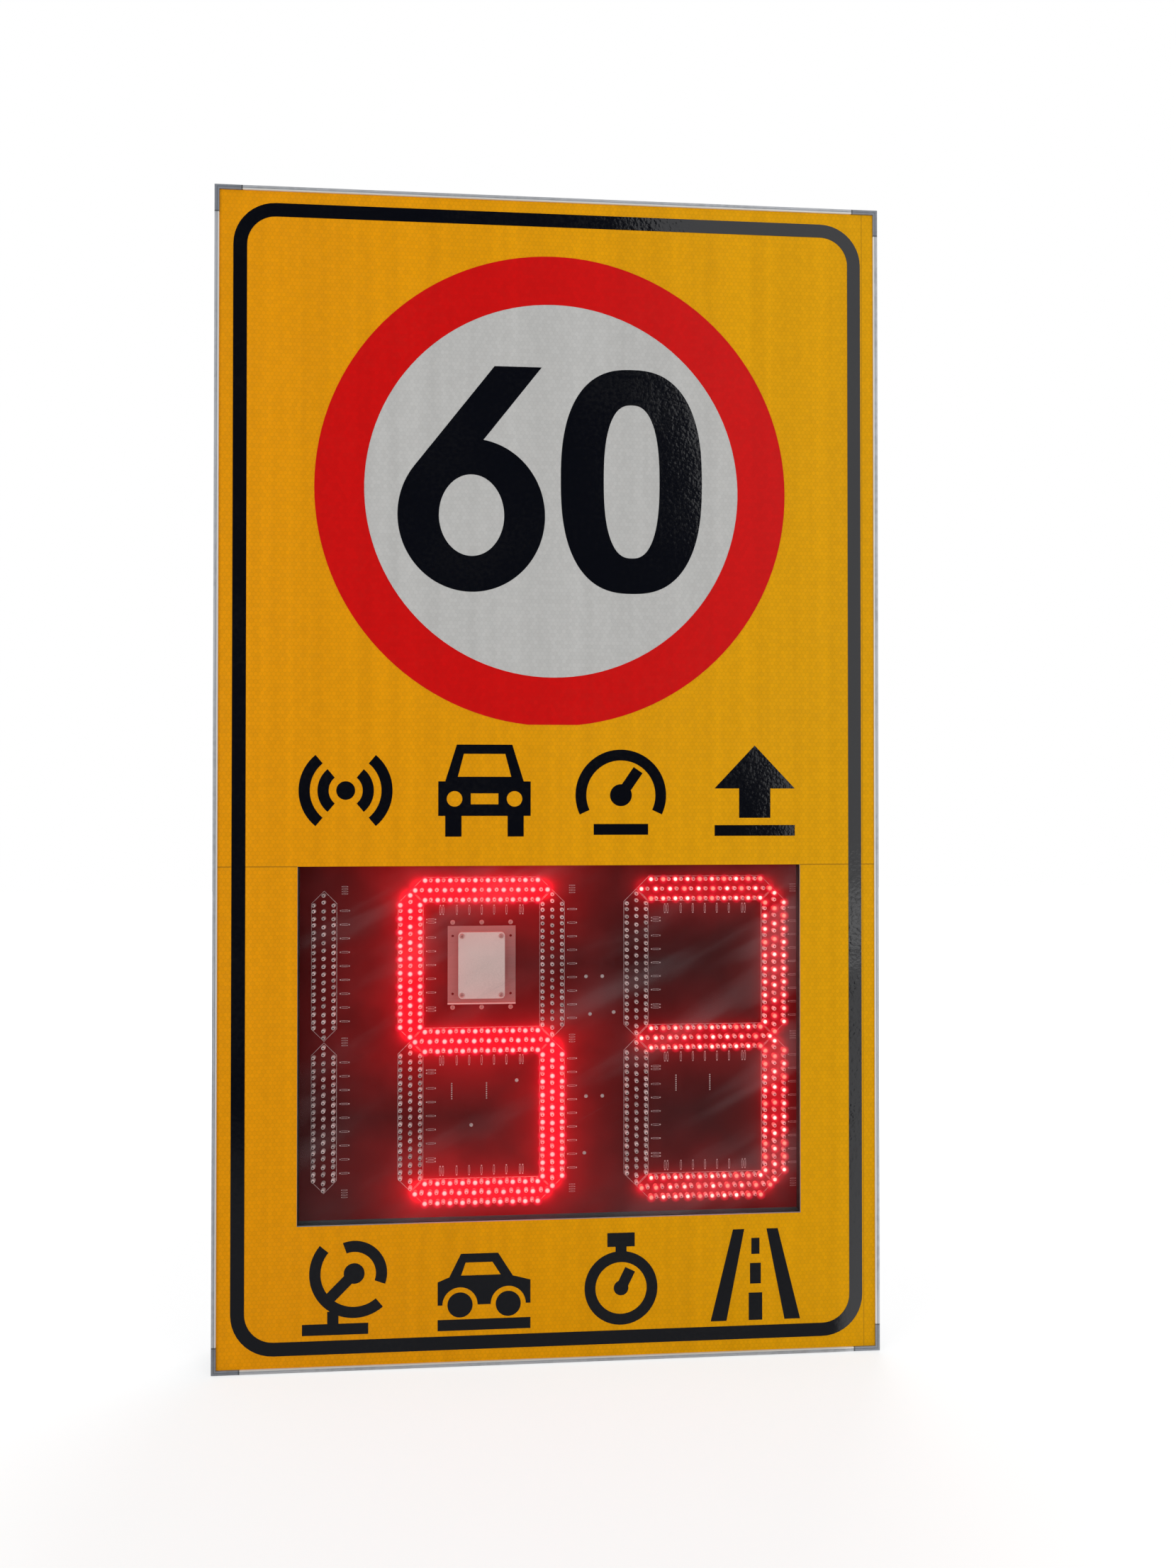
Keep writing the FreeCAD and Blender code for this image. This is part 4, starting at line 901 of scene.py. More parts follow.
def dress(finish: Finish, *nodes: str) -> None:
    """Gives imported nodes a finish.

    Args:
        finish: The finish.
        nodes: The nodes' names.
    """
    material = finish.material()
    for name in nodes:
        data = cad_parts[name].data
        data.materials.clear()
        data.materials.append(material)
        LOG.info("node %s: %s", name, finish.name)


def baked(made: Object) -> Mesh:
    """Gives the plain mesh that an object's modifiers make."""
    graph = bpy.context.evaluated_depsgraph_get()
    return bpy.data.meshes.new_from_object(made.evaluated_get(graph))


def closed_mesh(name: str, shape: Shape, rounded: bool = False) -> Mesh:
    """Turns a finished shape's faces outward, and gives it as a mesh.

    Args:
        name: The mesh's name.
        shape: The shape, which is freed.
        rounded: Whether its shallow edges are shaded smooth.

    Returns:
        The mesh.
    """
    bmesh.ops.recalc_face_normals(shape, faces=shape.faces)
    mesh = bpy.data.meshes.new(name)
    shape.to_mesh(mesh)
    shape.free()
    if rounded:
        mesh.shade_smooth()
        mesh.set_sharp_from_angle(angle=SHARP_ANGLE)
    return mesh


def solid_mesh(name: str, outlines: Iterable[Sequence[Point]], front: float, back: float) -> Mesh:
    """Makes flat slabs from outlines.

    Args:
        name: The mesh's name.
        outlines: Each slab's corners, as x and z.
        front: Depth of the front faces.
        back: Depth of the back faces.

    Returns:
        The mesh of all the slabs.
    """
    shape = bmesh.new()
    for outline in outlines:
        near, rear = ([shape.verts.new((x, depth, z)) for x, z in outline] for depth in (front, back))
        shape.faces.new(near)
        shape.faces.new(rear[::-1])
        Lathe.skin(shape, near, rear)
    return closed_mesh(name, shape)


@dataclass(frozen=True)
class Lathe:
    """A shape turned about the sign's depth, from radius and height pairs, first and last on the axis."""

    name: str
    profile: tuple[Point, ...]
    sides: int
    facing: Facing = Facing.FRONT
    RADIUS = "radius_share"

    def mesh(self) -> Mesh:
        """Turns the profile and marks each point with its share of the largest radius.

        Returns:
            The closed mesh, its foot at the origin.
        """
        shape = bmesh.new()
        rings = [self.ring(shape, [radius] * (self.sides if radius else 1), self.facing.value * height)
                 for radius, height in self.profile]
        for lower, upper in zip(rings, rings[1:]):
            self.skin(shape, lower, upper)
        mesh = closed_mesh(self.name, shape, rounded=True)
        largest = max(radius for radius, _ in self.profile)
        share = mesh.attributes.new(self.RADIUS, "FLOAT", "POINT")
        for vertex, item in zip(mesh.vertices, share.data):
            item.value = math.hypot(vertex.co.x, vertex.co.z) / largest
        return mesh

    @staticmethod
    def ring(shape: Shape, radii: Sequence[float], depth: float, x: float = 0.0, z: float = 0.0) -> list:
        """Sets points round an axis through x and z, each at its own radius."""
        turns = [(r, 2 * math.pi * step / len(radii)) for step, r in enumerate(radii)]
        return [shape.verts.new((x + r * math.cos(t), depth, z + r * math.sin(t))) for r, t in turns]

    @staticmethod
    def skin(shape: Shape, lower: list, upper: list) -> None:
        """Joins two rings, either of which may be a single point.

        Args:
            shape: The mesh being made.
            lower: Points of one ring.
            upper: Points of the next.
        """
        count = max(len(lower), len(upper))
        for step in range(count):
            after = (step + 1) % count
            corners = [lower[step % len(lower)], lower[after % len(lower)],
                       upper[after % len(upper)], upper[step % len(upper)]]
            shape.faces.new(list(dict.fromkeys(corners)))


@dataclass
class Repeater:
    """Sets copies of a small shape at points, each with its own tone and turn."""

    name: str
    seed: int
    size: float = 1.0
    TONE = "tone"
    TURN = "turn"

    def tree(self) -> Tree:
        """Builds the node tree that places, turns, tones and realises the copies.

        Returns:
            The tree.
        """
        inputs = {"Geometry": "Geometry", "Shape": "Object", "Size": "Float", "Seed": "Int",
                  "Finish": "Material"}
        tree = new_group(self.name + " copies", "GeometryNodeTree", inputs, {"Geometry": "Geometry"})
        graph = Graph(tree)
        entry = graph.add("NodeGroupInput").outputs
        shape = graph.add("GeometryNodeObjectInfo", {"Object": entry["Shape"]})
        turn = graph.add("GeometryNodeInputNamedAttribute", {"Name": self.TURN}, data_type="FLOAT")
        rotation = graph.add("ShaderNodeCombineXYZ", {"Y": turn.outputs["Attribute"]})
        copies = graph.add("GeometryNodeInstanceOnPoints", {
            "Points": entry["Geometry"], "Instance": shape.outputs["Geometry"],
            "Rotation": rotation.outputs[0], "Scale": entry["Size"]})
        tone = graph.add("FunctionNodeRandomValue", {"Seed": entry["Seed"]}, data_type="FLOAT")
        toned = graph.add("GeometryNodeStoreNamedAttribute", {
            "Geometry": copies.outputs[0], "Name": self.TONE, "Value": tone.outputs[1]},
            data_type="FLOAT", domain="INSTANCE")
        real = graph.add("GeometryNodeRealizeInstances", {"Geometry": toned.outputs[0]})
        dressed = graph.add("GeometryNodeSetMaterial", {
            "Geometry": real.outputs[0], "Material": entry["Finish"]})
        graph.add("NodeGroupOutput", {"Geometry": dressed.outputs[0]})
        return tree

    def piece(self, shape: Mesh, places: Sequence[Vector], finish: Finish,
              turns: Sequence[float] = ()) -> Object:
        """Makes one plain mesh of all the copies.

        Args:
            shape: The shape to repeat.
            places: Where its copies go.
            finish: Their finish.
            turns: Each copy's turn about the sign's depth, or none.

        Returns:
            The finished piece, at the origin.
        """
        points = bpy.data.meshes.new(self.name)
        points.from_pydata([tuple(p) for p in places], [], [])
        turned = points.attributes.new(self.TURN, "FLOAT", "POINT")
        turned.data.foreach_set("value", list(turns) or [0.0] * len(places))
        carrier = link(self.name, points)
        source = link(self.name + ".shape", shape)
        modifier = carrier.modifiers.new("copies", "NODES")
        modifier.node_group = self.tree()
        values = {"Shape": source, "Size": self.size, "Seed": self.seed, "Finish": finish.material()}
        for item in modifier.node_group.interface.items_tree:
            if item.in_out == "INPUT" and item.name in values:
                modifier[item.identifier] = values[item.name]
        mesh = baked(carrier)
        carrier.modifiers.clear()
        carrier.data = mesh
        bpy.data.objects.remove(source)
        mesh.name = self.name
        return carrier


@dataclass
class LampFigure:
    """One figure of the display: the columns and rows that its bars run along."""

    name: str
    bars: tuple[Bar, ...]
    lit: tuple[Bar, ...]
    power: float
    left: float
    right: float
    foot: float
    top: float

    def ends(self, bar: Bar) -> tuple[Point, Point]:
        """Gives a bar's start and end, as x and z."""
        width, height = self.right - self.left, self.top - self.foot
        return tuple((self.left + a * width, self.foot + b * height) for a, b in bar.value)


@dataclass
class LampDisplay:
    """The lamp board: its lamps, their light, the print and the solder joints between them.

    Solder joints are given in millimetres: right of the gap between the figures, or of the right column of
    the tens figure, and above the board's middle.
    """

    lamp_radius: float = 2.5 * MM
    lamp_height: float = 8.6 * MM
    lamp_sides: int = 10
    lamp_clearance: float = 0.9 * MM
    dome_turns: Triple = (0.0, 0.52, 1.05)
    haze_radius: float = 7.2 * MM
    haze_sides: int = 14
    haze_layer: float = 0.02 * MM
    haze_overlap: float = 0.05 * MM
    haze_step: float = 0.1 * MM
    row_pitch: float = 11.8 * MM
    lamp_pitch: float = 15.6 * MM
    second_lead: float = 0.434
    units_power: float = 0.34
    outline_half: float = 15.3 * MM
    outline_width: float = 0.6 * MM
    outline_clear: float = 0.4 * MM
    print_height: float = 0.06 * MM
    mark_length: float = 12.6 * MM
    mark_width: float = 2.2 * MM
    mark_line: float = 0.45 * MM
    mark_reach: float = 24.5 * MM
    mark_pitch: float = 16.6 * MM
    level_mark_pitch: float = 15.0 * MM
    pad_size: float = 0.8
    pad_chamfer: float = 0.4
    pad_clear: float = 2.2
    outer_marks: tuple[float, ...] = (-4, -3, -2, -1, 0, 1, 2, 3, 4)
    inner_marks: tuple[float, ...] = (-3.32, -3.1, -2, -1, 0, 1, 2, 3.1, 3.32)
    stack_rows: tuple[float, ...] = (-1.5, -0.5, 0.5, 1.5)
    stack_pitch: float = 2.9 * MM
    stack_scale: float = 0.62
    pin_pitch: float = 2.6 * MM
    pin_count: int = 8
    pin_scale: float = 0.4
    pin_columns: Point = (-36 * MM, 6 * MM)
    pin_drops: Point = (63 * MM, 58 * MM)
    gap_joints: tuple[Point, ...] = ((-10, 75), (10, 75), (-10, -71), (10, -71), (-5, 29), (24, 31),
                                     (-12, -140))
    tens_joints: tuple[Point, ...] = ((-43, -50), (-98, -103))
    solder_dome: tuple[Point, ...] = ((0.0, 0.0), (2.3 * MM, 0.0), (1.7 * MM, 0.7 * MM), (0.0, 1.0 * MM))
    solder_sides: int = 10
    figures: list[LampFigure] = field(default_factory=list)

    def __post_init__(self) -> None:
        """Reads the figures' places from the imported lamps."""
        self.board_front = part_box("display_board")[0].y
        reach = self.row_pitch + self.lamp_radius
        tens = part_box("lamps_tens_unlit")
        kinds = (("hundreds", LEFT_BARS, (), 0.0), ("tens", tuple(Bar), FIVE, 1.0),
                 ("units", tuple(Bar), THREE, self.units_power))
        for name, bars, lit, power in kinds:
            low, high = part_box("lamps_" + name + "_unlit")
            left = low.x + reach
            right = left if bars is LEFT_BARS else high.x - reach
            figure = LampFigure(name, bars, lit, power, left, right, tens[0].z + reach, tens[1].z - reach)
            self.figures.append(figure)

    def on_board(self, x: float, z: float) -> Vector:
        """Gives a point on the front of the board."""
        return Vector((x, self.board_front, z))

    def lit_bars(self) -> tuple[tuple[Point, Point, float], ...]:
        """Gives the ends of every lit bar, and how bright it is."""
        return tuple((*figure.ends(bar), figure.power) for figure in self.figures for bar in figure.lit)

    def bar_lamps(self, start: Point, end: Point) -> tuple[list[Vector], list[Vector]]:
        """Places the three rows of lamps of a bar.

        Args:
            start: The bar's start, as x and z.
            end: Its end.

        Returns:
            The places of its first and second lamps.
        """
        length = math.dist(start, end)
        along = (Vector(end) - Vector(start)) / length
        middle_gap = 2 * self.lamp_radius + self.lamp_clearance
        side_gap = self.row_pitch + middle_gap
        count = round((length - 2 * side_gap) / self.lamp_pitch) + 1
        firsts, seconds = [], []
        for offset, gap in ((-self.row_pitch, side_gap), (0.0, middle_gap), (self.row_pitch, side_gap)):
            lead = self.second_lead * (length - 2 * gap) / (count - 1)
            row = Vector(start) + Vector((along.y, -along.x)) * offset
            for lamps, inset, number in ((firsts, gap, count), (seconds, gap + lead, count - 1)):
                step = (length - 2 * inset) / (number - 1)
                spots = [row + along * (inset + step * index) for index in range(number)]
                lamps += [self.on_board(*spot) for spot in spots]
        return firsts, seconds

    def lamps(self, figure: LampFigure) -> tuple[list[Vector], list[Vector]]:
        """Places a figure's lamps.

        Args:
            figure: The figure.

        Returns:
            The places of its lit and its unlit lamps.
        """
        lit, unlit = [], []
        for bar in figure.bars:
            firsts, seconds = self.bar_lamps(*figure.ends(bar))
            unlit += seconds
            (lit if bar in figure.lit else unlit).extend(firsts)
        return lit, unlit

    def lamp_shape(self) -> Mesh:
        """Makes a round lamp with a domed end.

        Returns:
            The lamp's mesh.
        """
        radius, height = self.lamp_radius, self.lamp_height
        dome = [(radius * math.cos(t), height - radius + radius * math.sin(t)) for t in self.dome_turns]
        profile = ((0.0, 0.0), (radius, 0.0), *dome, (0.0, height))
        return Lathe("lamp", profile, self.lamp_sides).mesh()

    def haze_shape(self) -> Mesh:
        """Makes the thin lens that carries the light scattered round a lamp.

        Returns:
            The lens's mesh.
        """
        shares = enumerate((0.0, 0.5, 1.0, 0.5, 0.0))
        profile = tuple((share * self.haze_radius, layer * self.haze_layer) for layer, share in shares)
        return Lathe("haze", profile, self.haze_sides).mesh()

    def build_lamps(self, unlit: Finish, lit: dict[str, Finish], haze: dict[str, Finish]) -> None:
        """Makes every lamp, and the haze over the lit ones.

        Args:
            unlit: Finish of a lamp that is off.
            lit: Finish of a lit lamp, by figure.
            haze: Finish of the light scattered round it, by figure.
        """
        for seed, figure in enumerate(self.figures):
            on, off = self.lamps(figure)
            name = "lamps_" + figure.name
            piece = Repeater(name + "_unlit_domes", seed).piece(self.lamp_shape(), off, unlit)
            keep(piece, "lamp_unlit", name + "_unlit")
            if on:
                copies = Repeater(name + "_lit_domes", seed + 10)
                piece = copies.piece(self.lamp_shape(), on, lit[figure.name])
                keep(piece, "lamp_lit", name + "_lit")
                self.build_haze(name + "_haze", on, haze[figure.name])

    def build_haze(self, name: str, spots: Sequence[Vector], finish: Finish) -> None:
        """Sets the haze on the tips of a figure's lit lamps, neighbours at slightly different heights.

        Args:
            name: The piece's name.
            spots: The lamps' places.
            finish: Finish of the haze.
        """
        depth = self.lamp_height - self.haze_overlap
        places = [spot - Vector((0.0, depth + self.haze_step * (index % 3), 0.0))
                  for index, spot in enumerate(spots)]
        keep(Repeater(name, seed=31).piece(self.haze_shape(), places, finish), "lamp_lit")

    @staticmethod
    def hexagon(start: Point, end: Point, half: float, trim: float) -> list[Vector]:
        """Gives the six corners of a bar's outline, whose tips are square.

        Args:
            start: The bar's start, as x and z.
            end: Its end.
            half: Half the outline's width.
            trim: How far its tips stand back from the bar's ends.

        Returns:
            The corners in order.
        """
        first, last = Vector(start), Vector(end)
        along = (last - first).normalized()
        first, last = first + along * trim, last - along * trim
        side = Vector((along.y, -along.x))
        out, back = (along + side) * half, (along - side) * half
        return [first, first + out, last - back, last, last - out, first + back]

    def build_outlines(self, ink: Finish) -> None:
        """Prints a thin six-sided line round every bar.

        Args:
            ink: Finish of the print.
        """
        inner_half = self.outline_half - self.outline_width
        inner_clear = self.outline_clear + self.outline_width * math.sqrt(2)
        front, back = self.board_front - self.print_height, self.board_front
        shape = bmesh.new()
        for ends in (figure.ends(bar) for figure in self.figures for bar in figure.bars):
            outer = self.hexagon(*ends, self.outline_half, self.outline_clear)
            inner = self.hexagon(*ends, inner_half, inner_clear)
            edges = ((outer, front), (inner, front), (inner, back), (outer, back))
            loops = [[shape.verts.new((p.x, depth, p.y)) for p in corners] for corners, depth in edges]
            for loop, after in zip(loops, loops[1:] + loops[:1]):
                Lathe.skin(shape, loop, after)
        piece = link("bar_outlines", closed_mesh("bar_outlines", shape))
        piece.data.materials.append(ink.material())
        keep(piece, "display_laminate")

    def mark_shape(self) -> Mesh:
        """Makes a resistor's print: two lines between two pads.

        Returns:
            The mesh, its back at the origin.
        """
        half, pad, line = self.mark_length / 2, self.mark_width / 2, self.mark_line / 2
        reach, size, cut = half - self.pad_clear * pad, self.pad_size * pad, self.pad_chamfer
        corners = ((1, -cut), (1, cut), (cut, 1), (-cut, 1), (-1, cut), (-1, -cut), (-cut, -1), (cut, -1))
        outlines = []
        for side in (-1, 1):
            z = side * (pad - line)
            outlines.append([(-reach, z - line), (reach, z - line), (reach, z + line), (-reach, z + line)])
            outlines.append([(side * (half - pad) + size * a, size * b) for a, b in corners])
        return solid_mesh("mark", outlines, -self.print_height, 0.0)

    def build_marks(self, ink: Finish) -> None:
        """Prints the rows of resistor marks beside the bars, and stacks of them at the corners.

        Args:
            ink: Finish of the print.
        """
        marks: list[Triple] = []
        stacks: list[Triple] = []
        for figure in self.figures:
            for bar in figure.bars:
                (x0, z0), (x1, z1) = figure.ends(bar)
                x, z = (x0 + x1) / 2, (z0 + z1) / 2
                if bar in RIGHT_BARS + LEFT_BARS:
                    outer = figure.left == figure.right or bar in RIGHT_BARS
                    shares = self.outer_marks if outer else self.inner_marks
                    marks += [(x + self.mark_reach, z + share * self.mark_pitch, 0.0) for share in shares]
                    continue
                z += self.mark_reach if bar is Bar.BOTTOM else -self.mark_reach
                marks += [(x + share * self.level_mark_pitch, z, math.pi / 2)
                          for share in self.inner_marks]
            for z in (figure.foot, (figure.foot + figure.top) / 2, figure.top):
                x = figure.right + self.mark_reach
                stacks += [(x, z + row * self.stack_pitch, 0.0) for row in self.stack_rows]
        kinds = (("resistor_marks", 1.0, marks), ("part_marks", self.stack_scale, stacks))
        for name, size, spots in kinds:
            places = [self.on_board(x, z) for x, z, _ in spots]
            turns = [turn for _, _, turn in spots]
            piece = Repeater(name, seed=41, size=size).piece(self.mark_shape(), places, ink, turns)
            keep(piece, "display_laminate")

    def build_solder(self, tin: Finish) -> None:
        """Sets the rows of soldered pins and the single joints on the bare parts of the board.

        Args:
            tin: Finish of the solder.
        """
        _, tens, units = self.figures
        middle = (tens.foot + tens.top) / 2
        pins = []
        for figure, drop in zip((tens, units), self.pin_drops):
            centre = (figure.left + figure.right) / 2
            top = middle - drop + self.pin_pitch * self.pin_count / 2
            pins += [self.on_board(centre + column, top - self.pin_pitch * index)
                     for column in self.pin_columns for index in range(self.pin_count)]
        starts = (((tens.right + units.left) / 2, self.gap_joints), (tens.right, self.tens_joints))
        joints = [self.on_board(start + x * MM, middle + z * MM)
                  for start, spots in starts for x, z in spots]
        for name, size, places in (("solder_pins", self.pin_scale, pins), ("solder_joints", 1.0, joints)):
            dome = Lathe(name + ".dome", self.solder_dome, self.solder_sides).mesh()
            keep(Repeater(name, seed=51, size=size).piece(dome, places, tin), "zinc_steel")


@dataclass(frozen=True)
class Fastener:
    """A screw or bolt: its head, with the crown in shares of it, its shank and the way that it points."""

    head_radius: float
    head_height: float
    shank_radius: float
    facing: Facing
    sides: int
    crown: tuple[Point, ...]

    def mesh(self, shank: float) -> Mesh:
        """Turns the fastener.

        Args:
            shank: Length of the shank.

        Returns:
            The mesh, its seat at the origin.
        """
        stem = self.shank_radius
        head = [(a * self.head_radius, b * self.head_height) for a, b in self.crown]
        profile = ((0.0, -shank), (stem, -shank), (stem, 0.0), (self.head_radius, 0.0), *head)
        return Lathe("fastener", profile, self.sides, self.facing).mesh()


@dataclass(frozen=True)
class HexBolt(Fastener):
    """A six-sided bolt with a chamfered head."""

    sides: int = 6
    crown: tuple[Point, ...] = ((1.0, 0.78), (0.86, 1.0), (0.0, 1.0))


@dataclass(frozen=True)
class CrossScrew(Fastener):
    """A pan head screw, rounded off towards its top, with a cross recess."""

    sides: int = 16
    crown: tuple[Point, ...] = ((1.0, 0.45), (0.86, 0.82), (0.55, 1.0), (0.0, 1.0))
    arm: float = 0.56
    arm_width: float = 0.13
    recess: Point = (0.45, 1.2)

    def mesh(self, shank: float) -> Mesh:
        """Turns the screw and cuts the recess.

        Args:
            shank: Length of the shank.

        Returns:
            The mesh, its seat at the origin.
        """
        screw = link("screw", super().mesh(shank))
        arm, width = self.arm * self.head_radius, self.arm_width * self.head_radius
        quarter = ((arm, width), (width, width), (width, arm))
        turns = ((1, 0), (0, 1), (-1, 0), (0, -1))
        outline = [(x * c - z * s, x * s + z * c) for c, s in turns for x, z in quarter]
        depths = sorted(self.facing.value * self.head_height * share for share in self.recess)
        cutter = link("recess", solid_mesh("recess", [outline], *depths))
        cut = screw.modifiers.new("recess", "BOOLEAN")
        cut.operation = "DIFFERENCE"
        cut.object = cutter
        cut.solver = "EXACT"
        mesh = baked(screw)
        bpy.data.objects.remove(screw)
        bpy.data.objects.remove(cutter)
        mesh.set_sharp_from_angle(angle=SHARP_ANGLE)
        return mesh


def loose_centres(node: str) -> list[Vector]:
    """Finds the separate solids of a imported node.

    Args:
        node: The node's name.

    Returns:
        The middle of each solid's box.
    """
    shape = bmesh.new()
    shape.from_mesh(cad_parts[node].data)
    bmesh.ops.remove_doubles(shape, verts=shape.verts, dist=WELD)
    left = set(shape.verts)
    centres = []
    while left:
        group, edge = set(), [left.pop()]
        while edge:
            vertex = edge.pop()
            group.add(vertex)
            near = {e.other_vert(vertex) for e in vertex.link_edges} & left
            left -= near
            edge += near
        low, high = (Vector([pick(v.co[axis] for v in group) for axis in range(3)]) for pick in (min, max))
        centres.append((low + high) / 2)
    shape.free()
    return sorted(centres, key=lambda c: (round(c.x, 4), round(c.z, 4)))


@dataclass
class FastenerSet:
    """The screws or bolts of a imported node, each made again with its drive and set at its own turn."""

    node: str
    kind: Fastener
    turn_step: float = 2.4

    def build(self, finish: Finish) -> None:
        """Sets a fastener on each imported one.

        Args:
            finish: Their finish.
        """
        low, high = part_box(self.node)
        tip, foot = (low.y, high.y) if self.kind.facing is Facing.FRONT else (high.y, low.y)
        seat = tip - self.kind.facing.value * self.kind.head_height
        places = [Vector((c.x, seat, c.z)) for c in loose_centres(self.node)]
        turns = [self.turn_step * index for index in range(len(places))]
        shape = self.kind.mesh(abs(foot - seat))
        piece = Repeater(self.node + "_heads", seed=61).piece(shape, places, finish, turns)
        keep(piece, "zinc_steel", self.node)


@dataclass
class CableGland:
    """The gland's ribbed cap, round the hole for the cable."""

    ribs: int = 20
    rib_depth: float = 0.7 * MM
    rib_steps: tuple[bool, ...] = (False, False, True, True)
    ribbed_from: float = 0.9
    wall: float = 6.5 * MM
    shoulder: float = 3.5 * MM
    shoulder_turns: tuple[float, ...] = (0.0, 0.4, 0.8, 1.2, math.pi / 2)
    node: str = "gland_cap"

    def build(self, finish: Finish) -> None:
        """Makes the cap: ribbed sides, a rounded end and an open bore.

        Args:
            finish: The cap's finish.
        """
        low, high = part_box(self.node)
        centre = (low + high) / 2
        radius = (high.x - low.x) / 2
        bore = radius - self.wall
        rounded = [(radius - self.shoulder * (1 - math.cos(t)), high.y - self.shoulder * (1 - math.sin(t)))
                   for t in self.shoulder_turns]
        shape = bmesh.new()
        rings = []
        for reach, depth in [(bore, low.y), (radius, low.y), *rounded, (bore, high.y)]:
            rib = self.rib_depth if reach > self.ribbed_from * radius else 0.0
            radii = [reach - rib * cut for cut in self.rib_steps * self.ribs]
            rings.append(Lathe.ring(shape, radii, depth, centre.x, centre.z))
        for lower, upper in zip(rings, rings[1:] + rings[:1]):
            Lathe.skin(shape, lower, upper)
        mesh = closed_mesh("gland_cap_ribbed", shape, rounded=True)
        mesh.materials.append(finish.material())
        keep(link("gland_cap_ribbed", mesh), "black_plastic", self.node)


@dataclass
class SpeedSign:
    """The whole sign: its finishes, and the pieces that they are laid on."""

    display: LampDisplay = field(default_factory=LampDisplay)
    pane_overlap: float = 9.0 * MM
    lip_outer: float = 3.9 * MM
    film_overhang: float = 2.0 * MM
    # Depth of the radar plate's front edge that gets a painted highlight.
    lit_edge_reach: float = 3.0 * MM

    def __post_init__(self) -> None:
        """Works out the light of the lit bars, the joints of the frame, where the lip's painted highlight
        falls, and the window's edges.
        """
        self.glow = glow_effect(self.display.lit_bars(), self.display.row_pitch)
        top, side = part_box("frame_rail_top"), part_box("frame_rail_right")
        self.joint = (top[1].x, side[1].z)
        self.lit_inner_edge = (side[1].x - self.lip_outer, top[1].z - self.lip_outer)
        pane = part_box("window_pane")
        self.window_half = pane[1].x - self.pane_overlap
        self.window_top = pane[1].z - self.pane_overlap
        self.film_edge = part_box("border_line")[1].x + self.film_overhang

    def build_front(self) -> None:
        """Dresses the sheeting, the films on it and the frame round it."""
        yellow = Sheeting("yellow_sheeting", paint(239, 157, 0), 0.45, specular=0.08,
                          far_colour=paint(233, 167, 0), seam_z=self.window_top,
                          seam_clear=self.window_half, seam_x=self.film_edge)
        white = Sheeting("white_sheeting", paint(198, 198, 196), 0.45, specular=0.15, wall_shade=0.94,
                         sheen_band=0.04)
        red = Sheeting("red_sheeting", paint(214, 5, 5), 0.32, specular=0.12, wall_shade=0.97, sheen_band=0.03)
        dress(yellow, "yellow_sheeting")
        dress(white, "limit_disc")
        dress(red, "limit_ring")
        dress(GlossVinyl("black_vinyl", paint(7, 9, 17), 0.08),
              "border_line", "numeral_six", "numeral_zero", "upper_legend_marks", "lower_legend_marks")
        # The rails get a painted highlight inside the lip's inner edge.
        rail = {"colour": paint(196, 199, 204), "roughness": 0.42, "metallic": 0.25, "joint": self.joint,
                "lit_inner_edge": self.lit_inner_edge}
        across = GrainedMetal("frame_aluminium_across", **rail)
        upright = GrainedMetal("frame_aluminium_upright", grain=Axis.UPRIGHT, **rail)
        corner = GrainedMetal("corner_metal", paint(142, 147, 156), 0.48, 0.25, stain=0.35,
                              joint=self.joint)
        dress(across, "frame_rail_top", "frame_rail_bottom")
        dress(upright, "frame_rail_left", "frame_rail_right")
        dress(corner, *("corner_block_" + a + b for a in ("top", "bottom") for b in ("_left", "_right")))

    def build_window(self) -> None:
        """Dresses the pane and what holds it."""
        dress(ClearPane("clear_pane", (0.9, 0.9, 0.92), 0.06, metallic=1.0, glow=self.glow), "window_pane")
        dress(Rubber("black_rubber", paint(40, 40, 40), 0.75),
              "window_gasket", "shroud_strips", "rear_seal", "gear_leads", "display_lead")
        # The sill's dark grey is painted shade inside the channel behind the pane.
        dress(GrainedMetal("sill_aluminium", paint(86, 92, 96), 0.45, 0.15), "window_sill")

    def build_display(self) -> None:
        """Dresses the board, and makes its lamps, print and solder."""
        board = Laminate("display_laminate", paint(44, 26, 27), 0.32, specular=0.18, glow=self.glow)
        dress(board, "display_board")
        unlit = LampGlass("lamp_unlit", paint(236, 214, 212), 0.18, coat=0.3, glow=self.glow)
        glass = paint(255, 90, 80)
        lit = {"tens": LampLight("lamp_lit_bright", glass, 0.25),
               "units": LampLight("lamp_lit_dim", glass, 0.25, amber_share=0.28, strength=0.75)}
        haze = {"tens": LampHaze("haze_bright", BLACK, 0.9, specular=0.0, density=0.78),
                "units": LampHaze("haze_dim", BLACK, 0.9, specular=0.0, density=0.45,
                                  core=(1.25, 0.34, 0.30))}
        ink = PrintInk("board_print", paint(200, 175, 175), 0.6, glow=self.glow)
        self.display.build_lamps(unlit, lit, haze)
        self.display.build_outlines(ink)
        self.display.build_marks(ink)
        self.display.build_solder(GrainedMetal("solder_tin", paint(205, 190, 188), 0.35, 0.2))

    def build_radar(self) -> None:
        """Dresses the radar unit and makes its screws."""
        # The cover's pinkish colour is painted red light from the lit bars, over white plastic.
        cover = Moulded("white_plastic", paint(228, 204, 198), 0.45, glow=self.glow, glow_reach=22 * MM,
                        glow_colour=(0.60, 0.02, 0.03))
        dress(cover, "radar_cover")
        lit_red = {"glow": self.glow, "glow_reach": 42 * MM}
